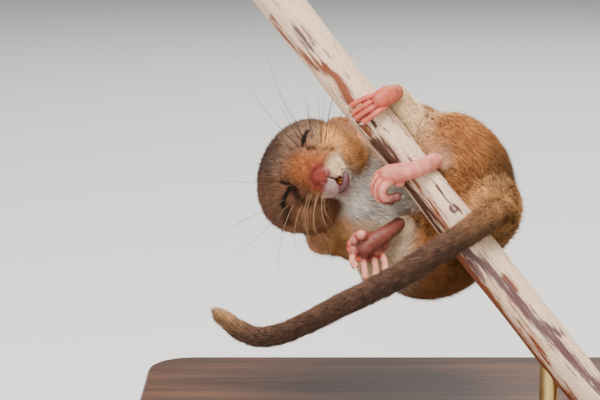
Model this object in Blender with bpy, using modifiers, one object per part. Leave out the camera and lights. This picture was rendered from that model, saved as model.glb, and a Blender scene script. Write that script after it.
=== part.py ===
"""A hazel dormouse asleep on a cut length of twig, life size, held on a plain display stand.

The animal lies behind the twig with its face to the viewer and its crown to the viewer's left. Its left
hand and left foot hold the twig, its right foot hangs free with the sole in view, and its tail comes
forward over the twig. Solids reach out to the tips of the short coat. Lengths are in millimetres.

The pose frame has x to the viewer's right, y away from the viewer and z up, with the twig's axis in the
plane y = 0. At the end it is leaned towards the floor by LEAN and lifted over the stand's base.
"""
import math

import bmesh
import bpy
from mathutils import Matrix, Vector

MM = 0.001
GAP = 0.32
CLEARANCE = 0.38
CELL_MARGIN = 0.3
LEAN = math.radians(10.0)

# Twig: a straight hazel shoot that runs down to the right
TWIG_TOP = Vector((-8.7, 0.0, 41.0))
TWIG_FOOT = Vector((52.9, 0.0, -37.0))
TWIG_RADIUS = 3.45
TWIG_RINGS = 15
TWIG_SIDES = 14
TWIG_SWELL = 0.14

# Stand
BASE_SIZE = (100.0, 80.0, 6.0)
BASE_CORNER = 9.0
BASE_EDGE = 1.2
POSE_OVER_BASE = Vector((-20.0, -12.0, 47.0))
ROD_RADIUS = 1.6
ROD_ALONG_TWIG = 0.84
ROD_SIDES = 20
COLLAR_RADIUS = 4.2
COLLAR_HEIGHT = 2.2

# Head, in its own frame: forward to the nose, left and up, from the middle of the skull
HEAD_CENTRE = Vector((0.7, 8.0, 4.2))
HEAD_ROLL = math.radians(18.0)
HEAD_NOD = math.radians(2.0)
HEAD_TURN = math.radians(5.5)
SKULL = (10.4, 10.3, 8.0)
BROW = ((6.0, 0.0, 0.4), (5.9, 4.4, 4.9))
NOSE = ((14.3, 0.0, -2.3), (1.35, 1.6, 1.35))
CHEEK = ((3.4, 5.4, -2.8), (5.4, 4.5, 4.6))
WHISKER_PAD = ((10.9, 1.8, -3.0), (2.9, 1.9, 2.1))
MUZZLE = ((6.0, 0.0, -1.4), (12.3, 0.0, -2.5), 5.0, 2.3)
JAW = ((2.0, 0.0, -4.2), (9.9, 0.0, -5.2), 3.6, 1.7)
NOSTRIL = ((15.5, 0.95, -2.45), (14.2, 0.75, -2.9), 0.42, 0.34)
UPPER_LIP_CLEFT = ((15.3, 0.0, -3.2), (13.9, 0.0, -4.2), 0.22, 0.25)
MOUTH = ((12.9, 0.0, -4.9), (1.5, 1.15, 0.75))
LIP_LINE = ((13.6, 0.0, -4.15), (12.6, 1.5, -4.75), (10.9, 2.9, -4.9), (9.0, 4.0, -4.5))
EYE_PLACE = (7.0, 4.4, 1.9)
EYE_RADIUS = 2.8
LID_RADIUS = 2.65
LID_SIDES = 18
EYE_SLIT = 4.2
SLIT_WIDTH = 0.5
SLIT_TURN = 0.4
SLIT_RISE = 0.1
SLIT_DROOP = 0.5
SLIT_STEPS = 3
LIP_WIDTH = 0.5
INCISOR = ((12.0, 0.48, -3.0), (12.35, 0.42, -5.0), 0.5, 0.4)
EAR_ROOT = {"left": (-4.2, 8.2, -0.4), "right": (-4.0, 7.7, -1.9)}
EAR_TIP = {"left": (-8.6, 11.9, -6.6), "right": (-8.4, 11.4, -7.7)}
EAR_OUT = (0.62, 0.75, 0.2)
EAR_CUP = 1.5
EAR_BOW = 0.6
EAR_WIDTH = 6.8
EAR_THICKNESS = 0.7
EAR_ROWS = 9
EAR_COLUMNS = 6

# Tail: the middle of its coat from the rump to the tip, with the half width at each point
TAIL = (
    ((34.2, 3.5, -1.3), 4.0),
    ((33.3, -0.8, -1.9), 3.1),
    ((31.2, -5.1, -3.5), 2.6),
    ((27.3, -7.1, -6.2), 2.4),
    ((21.9, -8.6, -9.5), 2.3),
    ((16.8, -9.2, -12.7), 2.25),
    ((11.7, -9.2, -15.4), 2.2),
    ((6.7, -9.0, -17.8), 2.15),
    ((1.7, -8.5, -20.4), 2.05),
    ((-2.5, -7.5, -22.3), 1.95),
    ((-6.4, -6.2, -23.2), 1.9),
    ((-9.7, -4.9, -22.4), 1.85),
    ((-12.1, -4.0, -20.8), 1.65),
    ((-13.6, -3.5, -19.8), 1.35),
    ((-14.4, -3.2, -19.2), 0.7),
)
TAIL_SIDES = 12
TAIL_STEPS = 3
TAIL_CUT = 2

# Coat forms of the trunk: middle and half widths
TRUNK = (
    ((6.0, 13.5, 3.4), (7.6, 7.8, 8.4)),
    ((11.5, 16.0, 1.6), (8.5, 11.0, 10.8)),
    ((16.5, 17.5, 0.4), (9.0, 12.2, 12.0)),
    ((22.0, 18.0, -0.6), (9.5, 12.9, 13.0)),
    ((26.8, 16.2, -1.0), (9.5, 12.5, 13.0)),
    ((30.0, 11.5, -1.3), (8.3, 10.5, 10.5)),
    ((32.5, 6.0, -1.2), (6.4, 7.0, 8.0)),
)

# Planes that part the trunk, each with the side towards the crown
CUT_PLANES = {
    "head": ((4.6, 10.0, 3.4), (-0.8, -0.6, 0.1)),
    "neck": ((9.4, 13.0, 2.0), (-1.0, -0.1, 0.15)),
    "chest": ((19.0, 15.0, 0.0), (-1.0, 0.0, 0.1)),
}
CUT_BLOCK = (70.0, 60.0)

# Limb joints
SHOULDER = {"left": (12.5, 13.0, 6.6), "right": (8.8, 12.0, -5.2)}
ELBOW = {"left": (21.0, 8.6, 12.0), "right": (16.8, 8.0, -10.4)}
WRIST = {"left": (17.0, 0.6, 18.4), "right": (12.2, 4.4, -9.6)}
UPPER_ARM_RADII = (5.6, 3.9)
FOREARM_RADII = (3.5, 1.9)
HIP = {"left": (28.0, 7.6, 5.4), "right": (22.6, 11.6, -8.8)}
HAUNCH = {"left": (11.4, 8.9, 6.9), "right": (11.2, 9.4, 9.0)}
ALONG_TWIG = (TWIG_FOOT - TWIG_TOP).to_track_quat("X", "Y").to_matrix()
HAUNCH_TURN = {"left": ALONG_TWIG, "right": Matrix.Identity(3)}
KNEE = {"left": (21.6, 10.0, 13.0), "right": (14.0, 7.4, -11.8)}
ANKLE = {"left": (24.2, 0.4, 6.5), "right": (18.3, 2.4, -4.2)}
SHANK_RADII = {"left": (4.2, 1.9), "right": (4.0, 1.9)}

# Digits: points from root to tip, all with the radii below
FOOT_SOLE_RADII = (1.45, 1.5, 1.75)
TOE_RADII = (0.72, 0.66, 0.62, 0.66)
FINGER_RADII = (0.62, 0.55, 0.5, 0.55)
LEFT_SOLE = ((24.4, -0.9, 6.5), (19.6, -5.35, 5.2), (15.3, -4.9, 4.4))
LEFT_TOES = (
    ((15.6, -5.5, 3.6), (14.0, -5.4, 1.9), (14.5, -4.5, 0.3), (16.5, -4.1, 0.5)),
    ((14.9, -5.2, 4.1), (13.3, -4.7, 2.2), (13.5, -3.6, 0.3), (15.5, -2.9, -0.1)),
    ((14.5, -4.4, 4.6), (12.9, -3.6, 3.0), (12.8, -2.3, 1.1), (14.6, -1.4, 0.4)),
    ((14.7, -3.7, 5.1), (13.2, -2.5, 4.0), (12.9, -1.1, 2.4), (14.2, 0.0, 1.5)),
)
LEFT_BIG_TOE = ((17.4, -5.7, 3.9), (17.3, -5.9, 2.7), (17.9, -5.6, 1.7))
RIGHT_SOLE = ((18.0, 0.3, -4.0), (14.4, -2.3, -6.0), (11.2, -3.4, -7.9))
RIGHT_TOES = (
    ((10.0, -3.4, -8.4), (9.1, -4.1, -9.4), (8.9, -4.9, -10.4), (9.3, -5.7, -11.1)),
    ((11.0, -3.3, -8.9), (10.9, -3.8, -10.6), (11.0, -4.4, -12.0), (11.1, -5.2, -13.1)),
    ((12.2, -2.9, -8.9), (12.7, -3.3, -10.4), (12.9, -3.7, -11.6), (12.9, -4.4, -12.7)),
    ((13.2, -2.3, -8.4), (14.1, -2.6, -9.7), (14.5, -3.0, -10.8), (14.6, -3.6, -11.8)),
)
RIGHT_BIG_TOE = ((11.6, -3.6, -6.9), (10.7, -4.6, -6.1), (10.4, -5.5, -5.9))
LEFT_PALM = ((17.0, -0.7, 18.7), (15.0, -3.4, 18.0), (13.4, -4.5, 17.0))
LEFT_FINGERS = (
    ((13.6, -4.5, 17.9), (11.9, -5.0, 17.6), (10.2, -4.6, 16.9), (9.0, -3.6, 16.2)),
    ((13.2, -4.7, 17.2), (11.6, -5.2, 16.4), (10.2, -4.9, 15.5), (9.2, -4.1, 14.8)),
    ((13.5, -4.8, 16.3), (12.0, -5.4, 15.5), (10.7, -5.2, 14.7), (9.7, -4.5, 14.0)),
    ((14.2, -4.8, 15.7), (13.0, -5.5, 14.8), (11.9, -5.5, 14.0), (11.0, -5.0, 13.4)),
)
RIGHT_PALM = ((12.0, 3.6, -9.4), (10.6, 2.2, -9.0), (9.4, 1.4, -8.6))
RIGHT_FINGERS = (
    ((9.6, 1.4, -7.6), (8.2, 0.9, -7.2), (7.5, 1.2, -6.3), (8.1, 2.2, -6.0)),
    ((9.2, 1.1, -8.3), (7.7, 0.6, -8.0), (6.8, 0.9, -7.2), (7.3, 1.9, -6.8)),
    ((9.2, 1.2, -9.2), (7.7, 0.7, -9.0), (6.7, 0.9, -8.3), (7.1, 1.9, -7.8)),
    ((9.6, 1.5, -10.0), (8.2, 1.0, -10.0), (7.2, 1.1, -9.4), (7.5, 2.1, -8.9)),
)
PALM_RADII = (1.3, 1.5, 1.4)
DIGIT_ROOT = 0.72
DIGIT_PAD = 1.15

# Mesh fineness
TRUNK_VOXEL = 0.6
HEAD_VOXEL = 0.36
BODY_VOXEL = 0.42
PAW_VOXEL = 0.24
TOOTH_VOXEL = 0.16
CUTTER_VOXEL = 0.3
HEAD_SMOOTHING = 5
TRUNK_SMOOTHING = 14
BODY_SMOOTHING = 3
BODY_TRIANGLES = 4400
PAW_TRIANGLES = 400
TOOTH_TRIANGLES = 140
CUTTER_TRIANGLES = 1500
CELL_SIDES = 14
GROOVE_SIDES = 8

COLOURS = {
    "fur": ((0.50, 0.24, 0.09, 1.0), 0.85),
    "pale_fur": ((0.78, 0.66, 0.50, 1.0), 0.85),
    "skin": ((0.72, 0.38, 0.33, 1.0), 0.55),
    "tooth": ((0.75, 0.42, 0.08, 1.0), 0.35),
    "bark": ((0.68, 0.58, 0.50, 1.0), 0.8),
    "stand_wood": ((0.16, 0.09, 0.055, 1.0), 0.45),
    "stand_metal": ((0.62, 0.50, 0.28, 1.0), 0.3),
}


def clear_scene():
    for old in list(bpy.data.objects):
        bpy.data.objects.remove(old)


def make_material(name):
    colour, roughness = COLOURS[name]
    material = bpy.data.materials.get(name)
    if material is None:
        material = bpy.data.materials.new(name)
        material.use_nodes = True
        shader = material.node_tree.nodes["Principled BSDF"]
        shader.inputs["Base Color"].default_value = colour
        shader.inputs["Roughness"].default_value = roughness
        shader.inputs["Metallic"].default_value = 1.0 if name == "stand_metal" else 0.0
    return material


def collection(name):
    found = bpy.data.collections.get(name)
    if found is None:
        found = bpy.data.collections.new(name)
        bpy.context.scene.collection.children.link(found)
    return found


def link(name, mesh):
    """A working object, in the collection of forms and cutters."""
    piece = bpy.data.objects.new(name, mesh)
    collection("cutters").objects.link(piece)
    return piece


def remove(*pieces):
    for piece in pieces:
        bpy.data.objects.remove(piece)


def object_of(name, form):
    """The bmesh, given in millimetres, as an object."""
    bmesh.ops.scale(form, vec=(MM, MM, MM), verts=form.verts)
    mesh = bpy.data.meshes.new(name)
    form.to_mesh(mesh)
    form.free()
    return link(name, mesh)


def facing_out(piece, merge=0.0):
    """Points the object's faces outwards, after merging points closer than merge."""
    form = bmesh.new()
    form.from_mesh(piece.data)
    bmesh.ops.remove_doubles(form, verts=form.verts, dist=merge * MM)
    bmesh.ops.recalc_face_normals(form, faces=form.faces)
    form.to_mesh(piece.data)
    form.free()
    return piece


def copy_of(piece):
    return link(piece.name + "_copy", piece.data.copy())


def bake(piece):
    """Turns the object's modifiers into its mesh."""
    graph = bpy.context.evaluated_depsgraph_get()
    mesh = bpy.data.meshes.new_from_object(piece.evaluated_get(graph))
    piece.modifiers.clear()
    piece.data = mesh
    return piece


def ball(centre, half, turn=None, sides=32, grow=0.0):
    """An ellipsoid with the half widths along the columns of turn."""
    form = bmesh.new()
    bmesh.ops.create_uvsphere(form, u_segments=sides, v_segments=sides * 5 // 8, radius=1.0)
    size = Matrix.Diagonal([*(h + grow for h in half), 1.0])
    turn = turn.to_4x4() if turn else Matrix.Identity(4)
    bmesh.ops.transform(form, matrix=Matrix.Translation(centre) @ turn @ size, verts=form.verts)
    return object_of("ball", form)


def capsule(start, end, start_radius, end_radius, sides=16, grow=0.0):
    """A tapering rod with round ends."""
    start, end = Vector(start), Vector(end)
    along = (end - start).normalized()
    turn = along.to_track_quat("Z", "Y").to_matrix()
    form = bmesh.new()
    bmesh.ops.create_uvsphere(form, u_segments=sides, v_segments=sides * 5 // 8, radius=1.0)
    for vert in form.verts:
        far = vert.co.z > -1e-6
        radius = (end_radius if far else start_radius) + grow
        vert.co = (end if far else start) + turn @ (vert.co * radius)
    return object_of("capsule", form)


def smooth_path(points, steps):
    """Points on a Catmull-Rom curve through points, which may hold more than three numbers each."""
    rows = [tuple(p) for p in points]
    rows = [rows[0]] + rows + [rows[-1]]
    path = []
    for i in range(1, len(rows) - 2):
        for step in range(steps):
            t = step / steps
            weights = (
                0.5 * (-t + 2 * t**2 - t**3),
                0.5 * (2 - 5 * t**2 + 3 * t**3),
                0.5 * (t + 4 * t**2 - 3 * t**3),
                0.5 * (-(t**2) + t**3),
            )
            near = rows[i - 1 : i + 3]
            path.append(tuple(sum(w * r[k] for w, r in zip(weights, near)) for k in range(len(rows[0]))))
    path.append(rows[-1])
    return path


def chain(points, radii, steps=3, sides=12):
    """Tapering rods end to end along a smooth curve."""
    path = smooth_path([(*p, r) for p, r in zip(points, radii)], steps)
    return [capsule(a[:3], b[:3], a[3], b[3], sides) for a, b in zip(path, path[1:])]


def fuse(name, pieces, voxel, rounds, triangles=None):
    """One closed surface round all the pieces, smoothed, and thinned to about that many triangles."""
    form = bmesh.new()
    for piece in pieces:
        form.from_mesh(piece.data)
    mesh = bpy.data.meshes.new(name)
    form.to_mesh(mesh)
    form.free()
    remove(*pieces)
    body = link(name, mesh)
    remesh = body.modifiers.new("Remesh", "REMESH")
    remesh.mode = "VOXEL"
    remesh.voxel_size = voxel * MM
    smooth = body.modifiers.new("Smooth", "SMOOTH")
    smooth.factor = 0.5
    smooth.iterations = rounds
    bake(body)
    return thin(body, triangles) if triangles else body


def thin(body, triangles):
    now = sum(len(face.vertices) - 2 for face in body.data.polygons)
    decimate = body.modifiers.new("Decimate", "DECIMATE")
    decimate.ratio = min(1.0, triangles / now)
    decimate.use_collapse_triangulate = True
    return bake(body)


def boolean(body, cutter, operation):
    change = body.modifiers.new("Boolean", "BOOLEAN")
    change.operation = operation
    change.object = cutter
    change.solver = "EXACT"
    return largest(bake(body))


def largest(body):
    """Keeps the object's largest closed surface."""
    form = bmesh.new()
    form.from_mesh(body.data)
    form.verts.ensure_lookup_table()
    seen, groups = set(), []
    for first in form.verts:
        if first.index in seen:
            continue
        seen.add(first.index)
        group, queue = [], [first]
        while queue:
            vert = queue.pop()
            group.append(vert)
            for edge in vert.link_edges:
                other = edge.other_vert(vert)
                if other.index not in seen:
                    seen.add(other.index)
                    queue.append(other)
        groups.append(group)
    groups.sort(key=len)
    bmesh.ops.delete(form, geom=[v for g in groups[:-1] for v in g], context="VERTS")
    form.to_mesh(body.data)
    form.free()
    return body


def carve(body, *cutters):
    for cutter in cutters:
        boolean(body, cutter, "DIFFERENCE")
        remove(cutter)
    return body


def part_off(name, body, cell, wider_cell):
    """Takes what lies in cell out of body as a node of its own, with the gap out to wider_cell."""
    node = copy_of(body)
    node.name = name
    boolean(node, cell, "INTERSECT")
    boolean(body, wider_cell, "DIFFERENCE")
    remove(cell, wider_cell)
    return node


def swollen(piece):
    """A closed copy of the object, larger all round by the clearance, to cut its neighbours with."""
    copy = copy_of(piece)
    push = copy.modifiers.new("Displace", "DISPLACE")
    push.strength = CLEARANCE * MM
    push.mid_level = 0.0
    remesh = copy.modifiers.new("Remesh", "REMESH")
    remesh.mode = "VOXEL"
    remesh.voxel_size = CUTTER_VOXEL * MM
    return thin(bake(copy), CUTTER_TRIANGLES)


def slab(point, normal, reach, depth, grow=0.0):
    """A block whose face lies at point and which fills the side that normal points to."""
    normal = Vector(normal).normalized()
    form = bmesh.new()
    bmesh.ops.create_cube(form, size=1.0)
    middle = Vector(point) + normal * (depth / 2 - grow)
    turn = normal.to_track_quat("Z", "Y").to_matrix().to_4x4()
    size = Matrix.Diagonal((reach, reach, depth, 1.0))
    bmesh.ops.transform(form, matrix=Matrix.Translation(middle) @ turn @ size, verts=form.verts)
    return object_of("slab", form)


def head_axes():
    """Forward, left and up of the head, as the columns of a matrix."""
    up = Vector((-math.cos(HEAD_ROLL), 0.0, math.sin(HEAD_ROLL)))
    left = Vector((math.sin(HEAD_ROLL), 0.0, math.cos(HEAD_ROLL)))
    level = Matrix((Vector((0.0, -1.0, 0.0)), left, up)).transposed()
    nod = Matrix.Rotation(HEAD_NOD, 3, "Y")
    turn = Matrix.Rotation(HEAD_TURN, 3, "Z")
    return level @ turn @ nod


HEAD = head_axes()


def on_head(place, side=1):
    """A place in the head's frame, mirrored for side -1, as a point of the pose frame."""
    return HEAD_CENTRE + HEAD @ Vector((place[0], place[1] * side, place[2]))


def head_ball(place, half, side=1):
    return ball(on_head(place, side), half, HEAD)


def head_rod(start, end, start_radius, end_radius, side=1):
    return capsule(on_head(start, side), on_head(end, side), start_radius, end_radius)


def make_head_form():
    """Skull, muzzle, jaw, cheeks and the domes of the shut eyes, without the fine cuts."""
    pieces = [head_ball((0.0, 0.0, 0.0), SKULL), head_ball(*BROW), head_ball(*NOSE)]
    pieces += [head_rod(*MUZZLE), head_rod(*JAW)]
    for side in (1, -1):
        pieces += [head_ball(*CHEEK, side), head_ball(*WHISKER_PAD, side)]
        pieces.append(head_ball(EYE_PLACE, (EYE_RADIUS,) * 3, side))
    return fuse("head_form", pieces, HEAD_VOXEL, HEAD_SMOOTHING)


def tail_path():
    return smooth_path([(*p, r) for p, r in TAIL], TAIL_STEPS)


def make_trunk_form():
    pieces = [ball(middle, half) for middle, half in TRUNK]
    tail_root = TAIL[: TAIL_CUT + 1]
    pieces += chain([p for p, _ in tail_root], [r for _, r in tail_root])
    for side in ("left", "right"):
        pieces.append(ball(HIP[side], HAUNCH[side], HAUNCH_TURN[side]))
        pieces.append(capsule(SHOULDER[side], ELBOW[side], *UPPER_ARM_RADII))
        pieces.append(capsule(ELBOW[side], WRIST[side], *FOREARM_RADII))
        pieces.append(capsule(KNEE[side], ANKLE[side], *SHANK_RADII[side]))
    return fuse("trunk_form", pieces, TRUNK_VOXEL, TRUNK_SMOOTHING)


def make_twig(name="twig", grow=0.0):
    """The twig as a lathe of slightly wavering rings, with cut ends."""
    along = TWIG_FOOT - TWIG_TOP
    turn = along.to_track_quat("Z", "Y").to_matrix()
    form = bmesh.new()
    rings = []
    for i in range(TWIG_RINGS + 1):
        t = i / TWIG_RINGS
        swell = TWIG_SWELL * (math.sin(9.4 * t + 0.6) + 0.6 * math.sin(23.0 * t))
        ring = []
        for j in range(TWIG_SIDES):
            angle = 2 * math.pi * j / TWIG_SIDES
            radius = TWIG_RADIUS + swell + 0.1 * math.sin(3 * angle + 5 * t) + grow
            spot = turn @ Vector((math.cos(angle), math.sin(angle), 0.0)) * radius
            ring.append(form.verts.new(TWIG_TOP + along * t + spot))
        rings.append(ring)
    for low, high in zip(rings, rings[1:]):
        for j in range(TWIG_SIDES):
            k = (j + 1) % TWIG_SIDES
            form.faces.new((low[j], low[k], high[k], high[j]))
    form.faces.new(reversed(rings[0]))
    form.faces.new(rings[-1])
    return object_of(name, form)


def cut_face(body):
    """Cuts the nostrils, the parting of the lips and the mouth."""
    for side in (1, -1):
        carve(body, head_rod(*NOSTRIL, side))
        line = [on_head(p, side) for p in LIP_LINE]
        for a, b in zip(line, line[1:]):
            carve(body, capsule(a, b, LIP_WIDTH / 2, LIP_WIDTH / 2, GROOVE_SIDES))
    carve(body, head_rod(*UPPER_LIP_CLEFT), head_ball(*MOUTH))


def make_incisors(name="incisors", grow=0.0):
    """The pair of upper front teeth that show between the lips."""
    top, tip, *radii = INCISOR
    pieces = [capsule(on_head(top, side), on_head(tip, side), *radii, GROOVE_SIDES, grow) for side in (1, -1)]
    return fuse(name, pieces, TOOTH_VOXEL, 1, TOOTH_TRIANGLES)


def cut_lid(eye, side):
    """The line where the shut lids meet, across the dome of the eye."""
    line = []
    for step in range(SLIT_STEPS + 1):
        t = step / SLIT_STEPS - 0.5
        swing = SLIT_TURN + t * EYE_SLIT / LID_RADIUS
        out = Vector((math.cos(swing), math.sin(swing), SLIT_RISE - SLIT_DROOP * t * t)).normalized()
        line.append(on_head(Vector(EYE_PLACE) + out * LID_RADIUS, side))
    for a, b in zip(line, line[1:]):
        carve(eye, capsule(a, b, SLIT_WIDTH / 2, SLIT_WIDTH / 2, GROOVE_SIDES))


def make_ear(side_name, side):
    """A thin round ear, cupped along its length, laid back along the side of the head."""
    root, tip = Vector(EAR_ROOT[side_name]), Vector(EAR_TIP[side_name])
    down = (tip - root).normalized()
    out = Vector(EAR_OUT)
    out = (out - down * out.dot(down)).normalized()
    across = down.cross(out)
    form = bmesh.new()
    grid = []
    for i in range(EAR_ROWS + 1):
        t = i / EAR_ROWS
        breadth = EAR_WIDTH / 2 * max(0.12, math.sin(math.pi * (0.16 + 0.84 * t))) ** 0.6
        row = []
        for j in range(EAR_COLUMNS + 1):
            s = 2 * j / EAR_COLUMNS - 1
            cup = EAR_CUP * s * s * (1 - 0.5 * t) + EAR_BOW * math.sin(math.pi * t)
            place = root + down * ((tip - root).length * t) + across * (s * breadth) + out * cup
            row.append(form.verts.new(on_head(place, side)))
        grid.append(row)
    for low, high in zip(grid, grid[1:]):
        for j in range(EAR_COLUMNS):
            form.faces.new((low[j], high[j], high[j + 1], low[j + 1]))
    bmesh.ops.triangulate(form, faces=form.faces)
    ear = object_of("ear_" + side_name, form)
    wall = ear.modifiers.new("Solidify", "SOLIDIFY")
    wall.thickness = EAR_THICKNESS * MM
    wall.offset = 0.0
    return facing_out(bake(ear))


def make_paw(name, sole, sole_radii, digits, digit_radii, thumb=None):
    """A hand or foot: palm or sole, digits with a pad at each tip, and a short inner digit."""
    pieces = chain(sole, sole_radii)
    for digit in digits:
        pieces += chain(digit, digit_radii)
        pieces.append(capsule(sole[-1], digit[0], sole_radii[-1] * DIGIT_ROOT, digit_radii[0]))
        pieces.append(ball(digit[-1], (digit_radii[-1] * DIGIT_PAD,) * 3, sides=CELL_SIDES))
    if thumb:
        pieces += chain(thumb, digit_radii[:3])
        pieces.append(ball(thumb[-1], (digit_radii[0] * DIGIT_PAD,) * 3, sides=CELL_SIDES))
    return fuse(name, pieces, PAW_VOXEL, BODY_SMOOTHING, PAW_TRIANGLES)


def make_tail():
    """The tail in four lengths with flat ends, each a tube through its share of the curve."""
    path = tail_path()
    first = TAIL_CUT * TAIL_STEPS
    names = ("tail_root", "tail_middle", "tail_end", "tail_tip")
    stops = [first + round((len(path) - 1 - first) * k / len(names)) for k in range(len(names) + 1)]
    pieces = []
    for name, low, high in zip(names, stops, stops[1:]):
        rows = [Vector(p) for p in path[low : high + 1]]
        step = (rows[1] - rows[0]).normalized() * GAP
        rows[0] = rows[0] + step
        curve = bpy.data.curves.new(name, "CURVE")
        curve.dimensions = "3D"
        curve.bevel_depth = MM
        curve.bevel_resolution = TAIL_SIDES // 4 - 1
        curve.use_fill_caps = True
        spline = curve.splines.new("POLY")
        spline.points.add(len(rows) - 1)
        for point, row in zip(spline.points, rows):
            point.co = (*(row.to_3d() * MM), 1.0)
            point.radius = row[3]
        tube = link(name, curve)
        graph = bpy.context.evaluated_depsgraph_get()
        mesh = bpy.data.meshes.new_from_object(tube.evaluated_get(graph))
        remove(tube)
        pieces.append(facing_out(link(name, mesh), merge=0.001))
    return pieces


def cut_tail_root(body):
    """A flat end on the trunk where the tail's first length begins."""
    at, after = tail_path()[TAIL_CUT * TAIL_STEPS :][:2]
    carve(body, slab(at[:3], Vector(after[:3]) - Vector(at[:3]), 9.0, 5.0))


def rod_cell(start, end, start_radius, end_radius):
    """A pair of rods, the second wider by the gap, round a limb's length."""
    radii = (start_radius + CELL_MARGIN, end_radius + CELL_MARGIN)
    return capsule(start, end, *radii, CELL_SIDES), capsule(start, end, *radii, CELL_SIDES, grow=GAP)


def divide(body):
    """Parts the whole body with thin cuts, and returns its nodes."""
    nodes = []
    for side, sign in (("left", 1), ("right", -1)):
        middle, half = on_head(EYE_PLACE, sign), (LID_RADIUS,) * 3
        cell = [ball(middle, half, sides=LID_SIDES, grow=grow) for grow in (0.0, GAP)]
        eye = part_off("eye_" + side, body, *cell)
        cut_lid(eye, sign)
        nodes.append(eye)
        cells = {
            "forearm_": rod_cell(ELBOW[side], WRIST[side], *FOREARM_RADII),
            "upper_arm_": rod_cell(SHOULDER[side], ELBOW[side], *UPPER_ARM_RADII),
            "shank_": rod_cell(KNEE[side], ANKLE[side], *SHANK_RADII[side]),
        }
        for name, cell in cells.items():
            nodes.append(part_off(name + side, body, *cell))
    for side, turn in HAUNCH_TURN.items():
        cell = [ball(HIP[side], HAUNCH[side], turn, LID_SIDES, CELL_MARGIN + grow) for grow in (0.0, GAP)]
        nodes.append(part_off("thigh_" + side, body, *cell))
    for name, (point, normal) in CUT_PLANES.items():
        blocks = [slab(point, normal, *CUT_BLOCK, grow) for grow in (0.0, GAP)]
        nodes.append(part_off(name, body, *blocks))
    body.name = "belly_and_rump"
    return nodes + [body]


def make_base():
    """A flat board with round corners and a softened top edge."""
    width, depth, height = BASE_SIZE
    form = bmesh.new()
    bmesh.ops.create_cube(form, size=1.0)
    bmesh.ops.scale(form, vec=BASE_SIZE, verts=form.verts)
    bmesh.ops.translate(form, vec=(0.0, 0.0, height / 2), verts=form.verts)
    upright = [e for e in form.edges if abs(e.verts[0].co.z - e.verts[1].co.z) > height / 2]
    bmesh.ops.bevel(form, geom=upright, offset=BASE_CORNER, segments=6, affect="EDGES", profile=0.5)
    top = [e for e in form.edges if all(v.co.z > height - 0.01 for v in e.verts)]
    bmesh.ops.bevel(form, geom=top, offset=BASE_EDGE, segments=2, affect="EDGES", profile=0.5)
    return object_of("stand_base", form)


def upright_rod(name, x, y, low, high, radius):
    form = bmesh.new()
    size = {"radius1": radius, "radius2": radius, "depth": high - low}
    bmesh.ops.create_cone(form, cap_ends=True, segments=ROD_SIDES, **size)
    bmesh.ops.translate(form, vec=(x, y, (low + high) / 2), verts=form.verts)
    return object_of(name, form)


def make_rod(pose, twig_cutter):
    """The rod from the base up to the underside of the twig, cut to the twig's round, on a flat collar."""
    spot = TWIG_TOP.lerp(TWIG_FOOT, ROD_ALONG_TWIG) * MM
    spot = (pose @ spot) / MM
    low = BASE_SIZE[2] + GAP
    rod = upright_rod("stand_rod", spot.x, spot.y, low, spot.z, ROD_RADIUS)
    collar = upright_rod("collar", spot.x, spot.y, low, low + COLLAR_HEIGHT, COLLAR_RADIUS)
    boolean(rod, collar, "UNION")
    remove(collar)
    return carve(rod, twig_cutter)


def finish(piece, material):
    """Gives the node its material and its place in the model's own collection."""
    for old in list(piece.users_collection):
        old.objects.unlink(piece)
    collection("hazel_dormouse").objects.link(piece)
    piece.data.materials.clear()
    piece.data.materials.append(make_material(material))
    piece.data.shade_smooth()


def main():
    clear_scene()
    body = fuse("body", [make_trunk_form(), make_head_form()], BODY_VOXEL, BODY_SMOOTHING, BODY_TRIANGLES)
    twig = make_twig()
    carve(body, make_twig("twig_cutter", GAP))
    cut_tail_root(body)
    cut_face(body)
    incisors = make_incisors()
    carve(body, make_incisors("incisor_cutter", CLEARANCE))
    ears = [make_ear(name, side) for name, side in (("left", 1), ("right", -1))]
    for ear in ears:
        carve(ear, swollen(body))
    nodes = divide(body)
    paws = [
        make_paw("foot_left", LEFT_SOLE, FOOT_SOLE_RADII, LEFT_TOES, TOE_RADII, LEFT_BIG_TOE),
        make_paw("foot_right", RIGHT_SOLE, FOOT_SOLE_RADII, RIGHT_TOES, TOE_RADII, RIGHT_BIG_TOE),
        make_paw("hand_left", LEFT_PALM, PALM_RADII, LEFT_FINGERS, FINGER_RADII),
        make_paw("hand_right", RIGHT_PALM, PALM_RADII, RIGHT_FINGERS, FINGER_RADII),
    ]
    for paw in paws:
        carve(paw, make_twig("twig_cutter", GAP))
        for near in nodes:
            if near.name.startswith(("shank", "forearm", "thigh", "upper_arm")):
                carve(paw, swollen(near))
    tail = make_tail()
    carve(tail[0], make_twig("twig_cutter", GAP))
    pose = Matrix.Translation(POSE_OVER_BASE * MM) @ Matrix.Rotation(-LEAN, 4, "X")
    frame = bpy.data.objects.new("pose_frame", None)
    collection("hazel_dormouse").objects.link(frame)
    frame.matrix_world = pose
    for piece in [*nodes, *ears, *paws, *tail, incisors, twig]:
        piece.parent = frame
    cutter = make_twig("twig_cutter", GAP)
    cutter.data.transform(pose)
    base, rod = make_base(), make_rod(pose, cutter)
    for piece in [*nodes, *ears, *tail]:
        finish(piece, "fur")
    for piece in paws:
        finish(piece, "skin")
    for piece, material in ((incisors, "tooth"), (twig, "bark"), (base, "stand_wood"), (rod, "stand_metal")):
        finish(piece, material)


main()
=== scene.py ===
"""Looks of a hazel dormouse asleep on a cut twig: skin, short coat, whiskers, claws, twig, stand and stage.

Shapes are worked out in millimetres in the pose frame (x to the viewer's right, y away from the viewer,
z up, the twig's axis in the plane y = 0), and are put into the model's frame when a piece is finished.
"""
import math
from collections import namedtuple

import bmesh
import bpy
import numpy as np
from mathutils import Matrix, Vector
from mathutils.bvhtree import BVHTree
from mathutils.kdtree import KDTree


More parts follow.
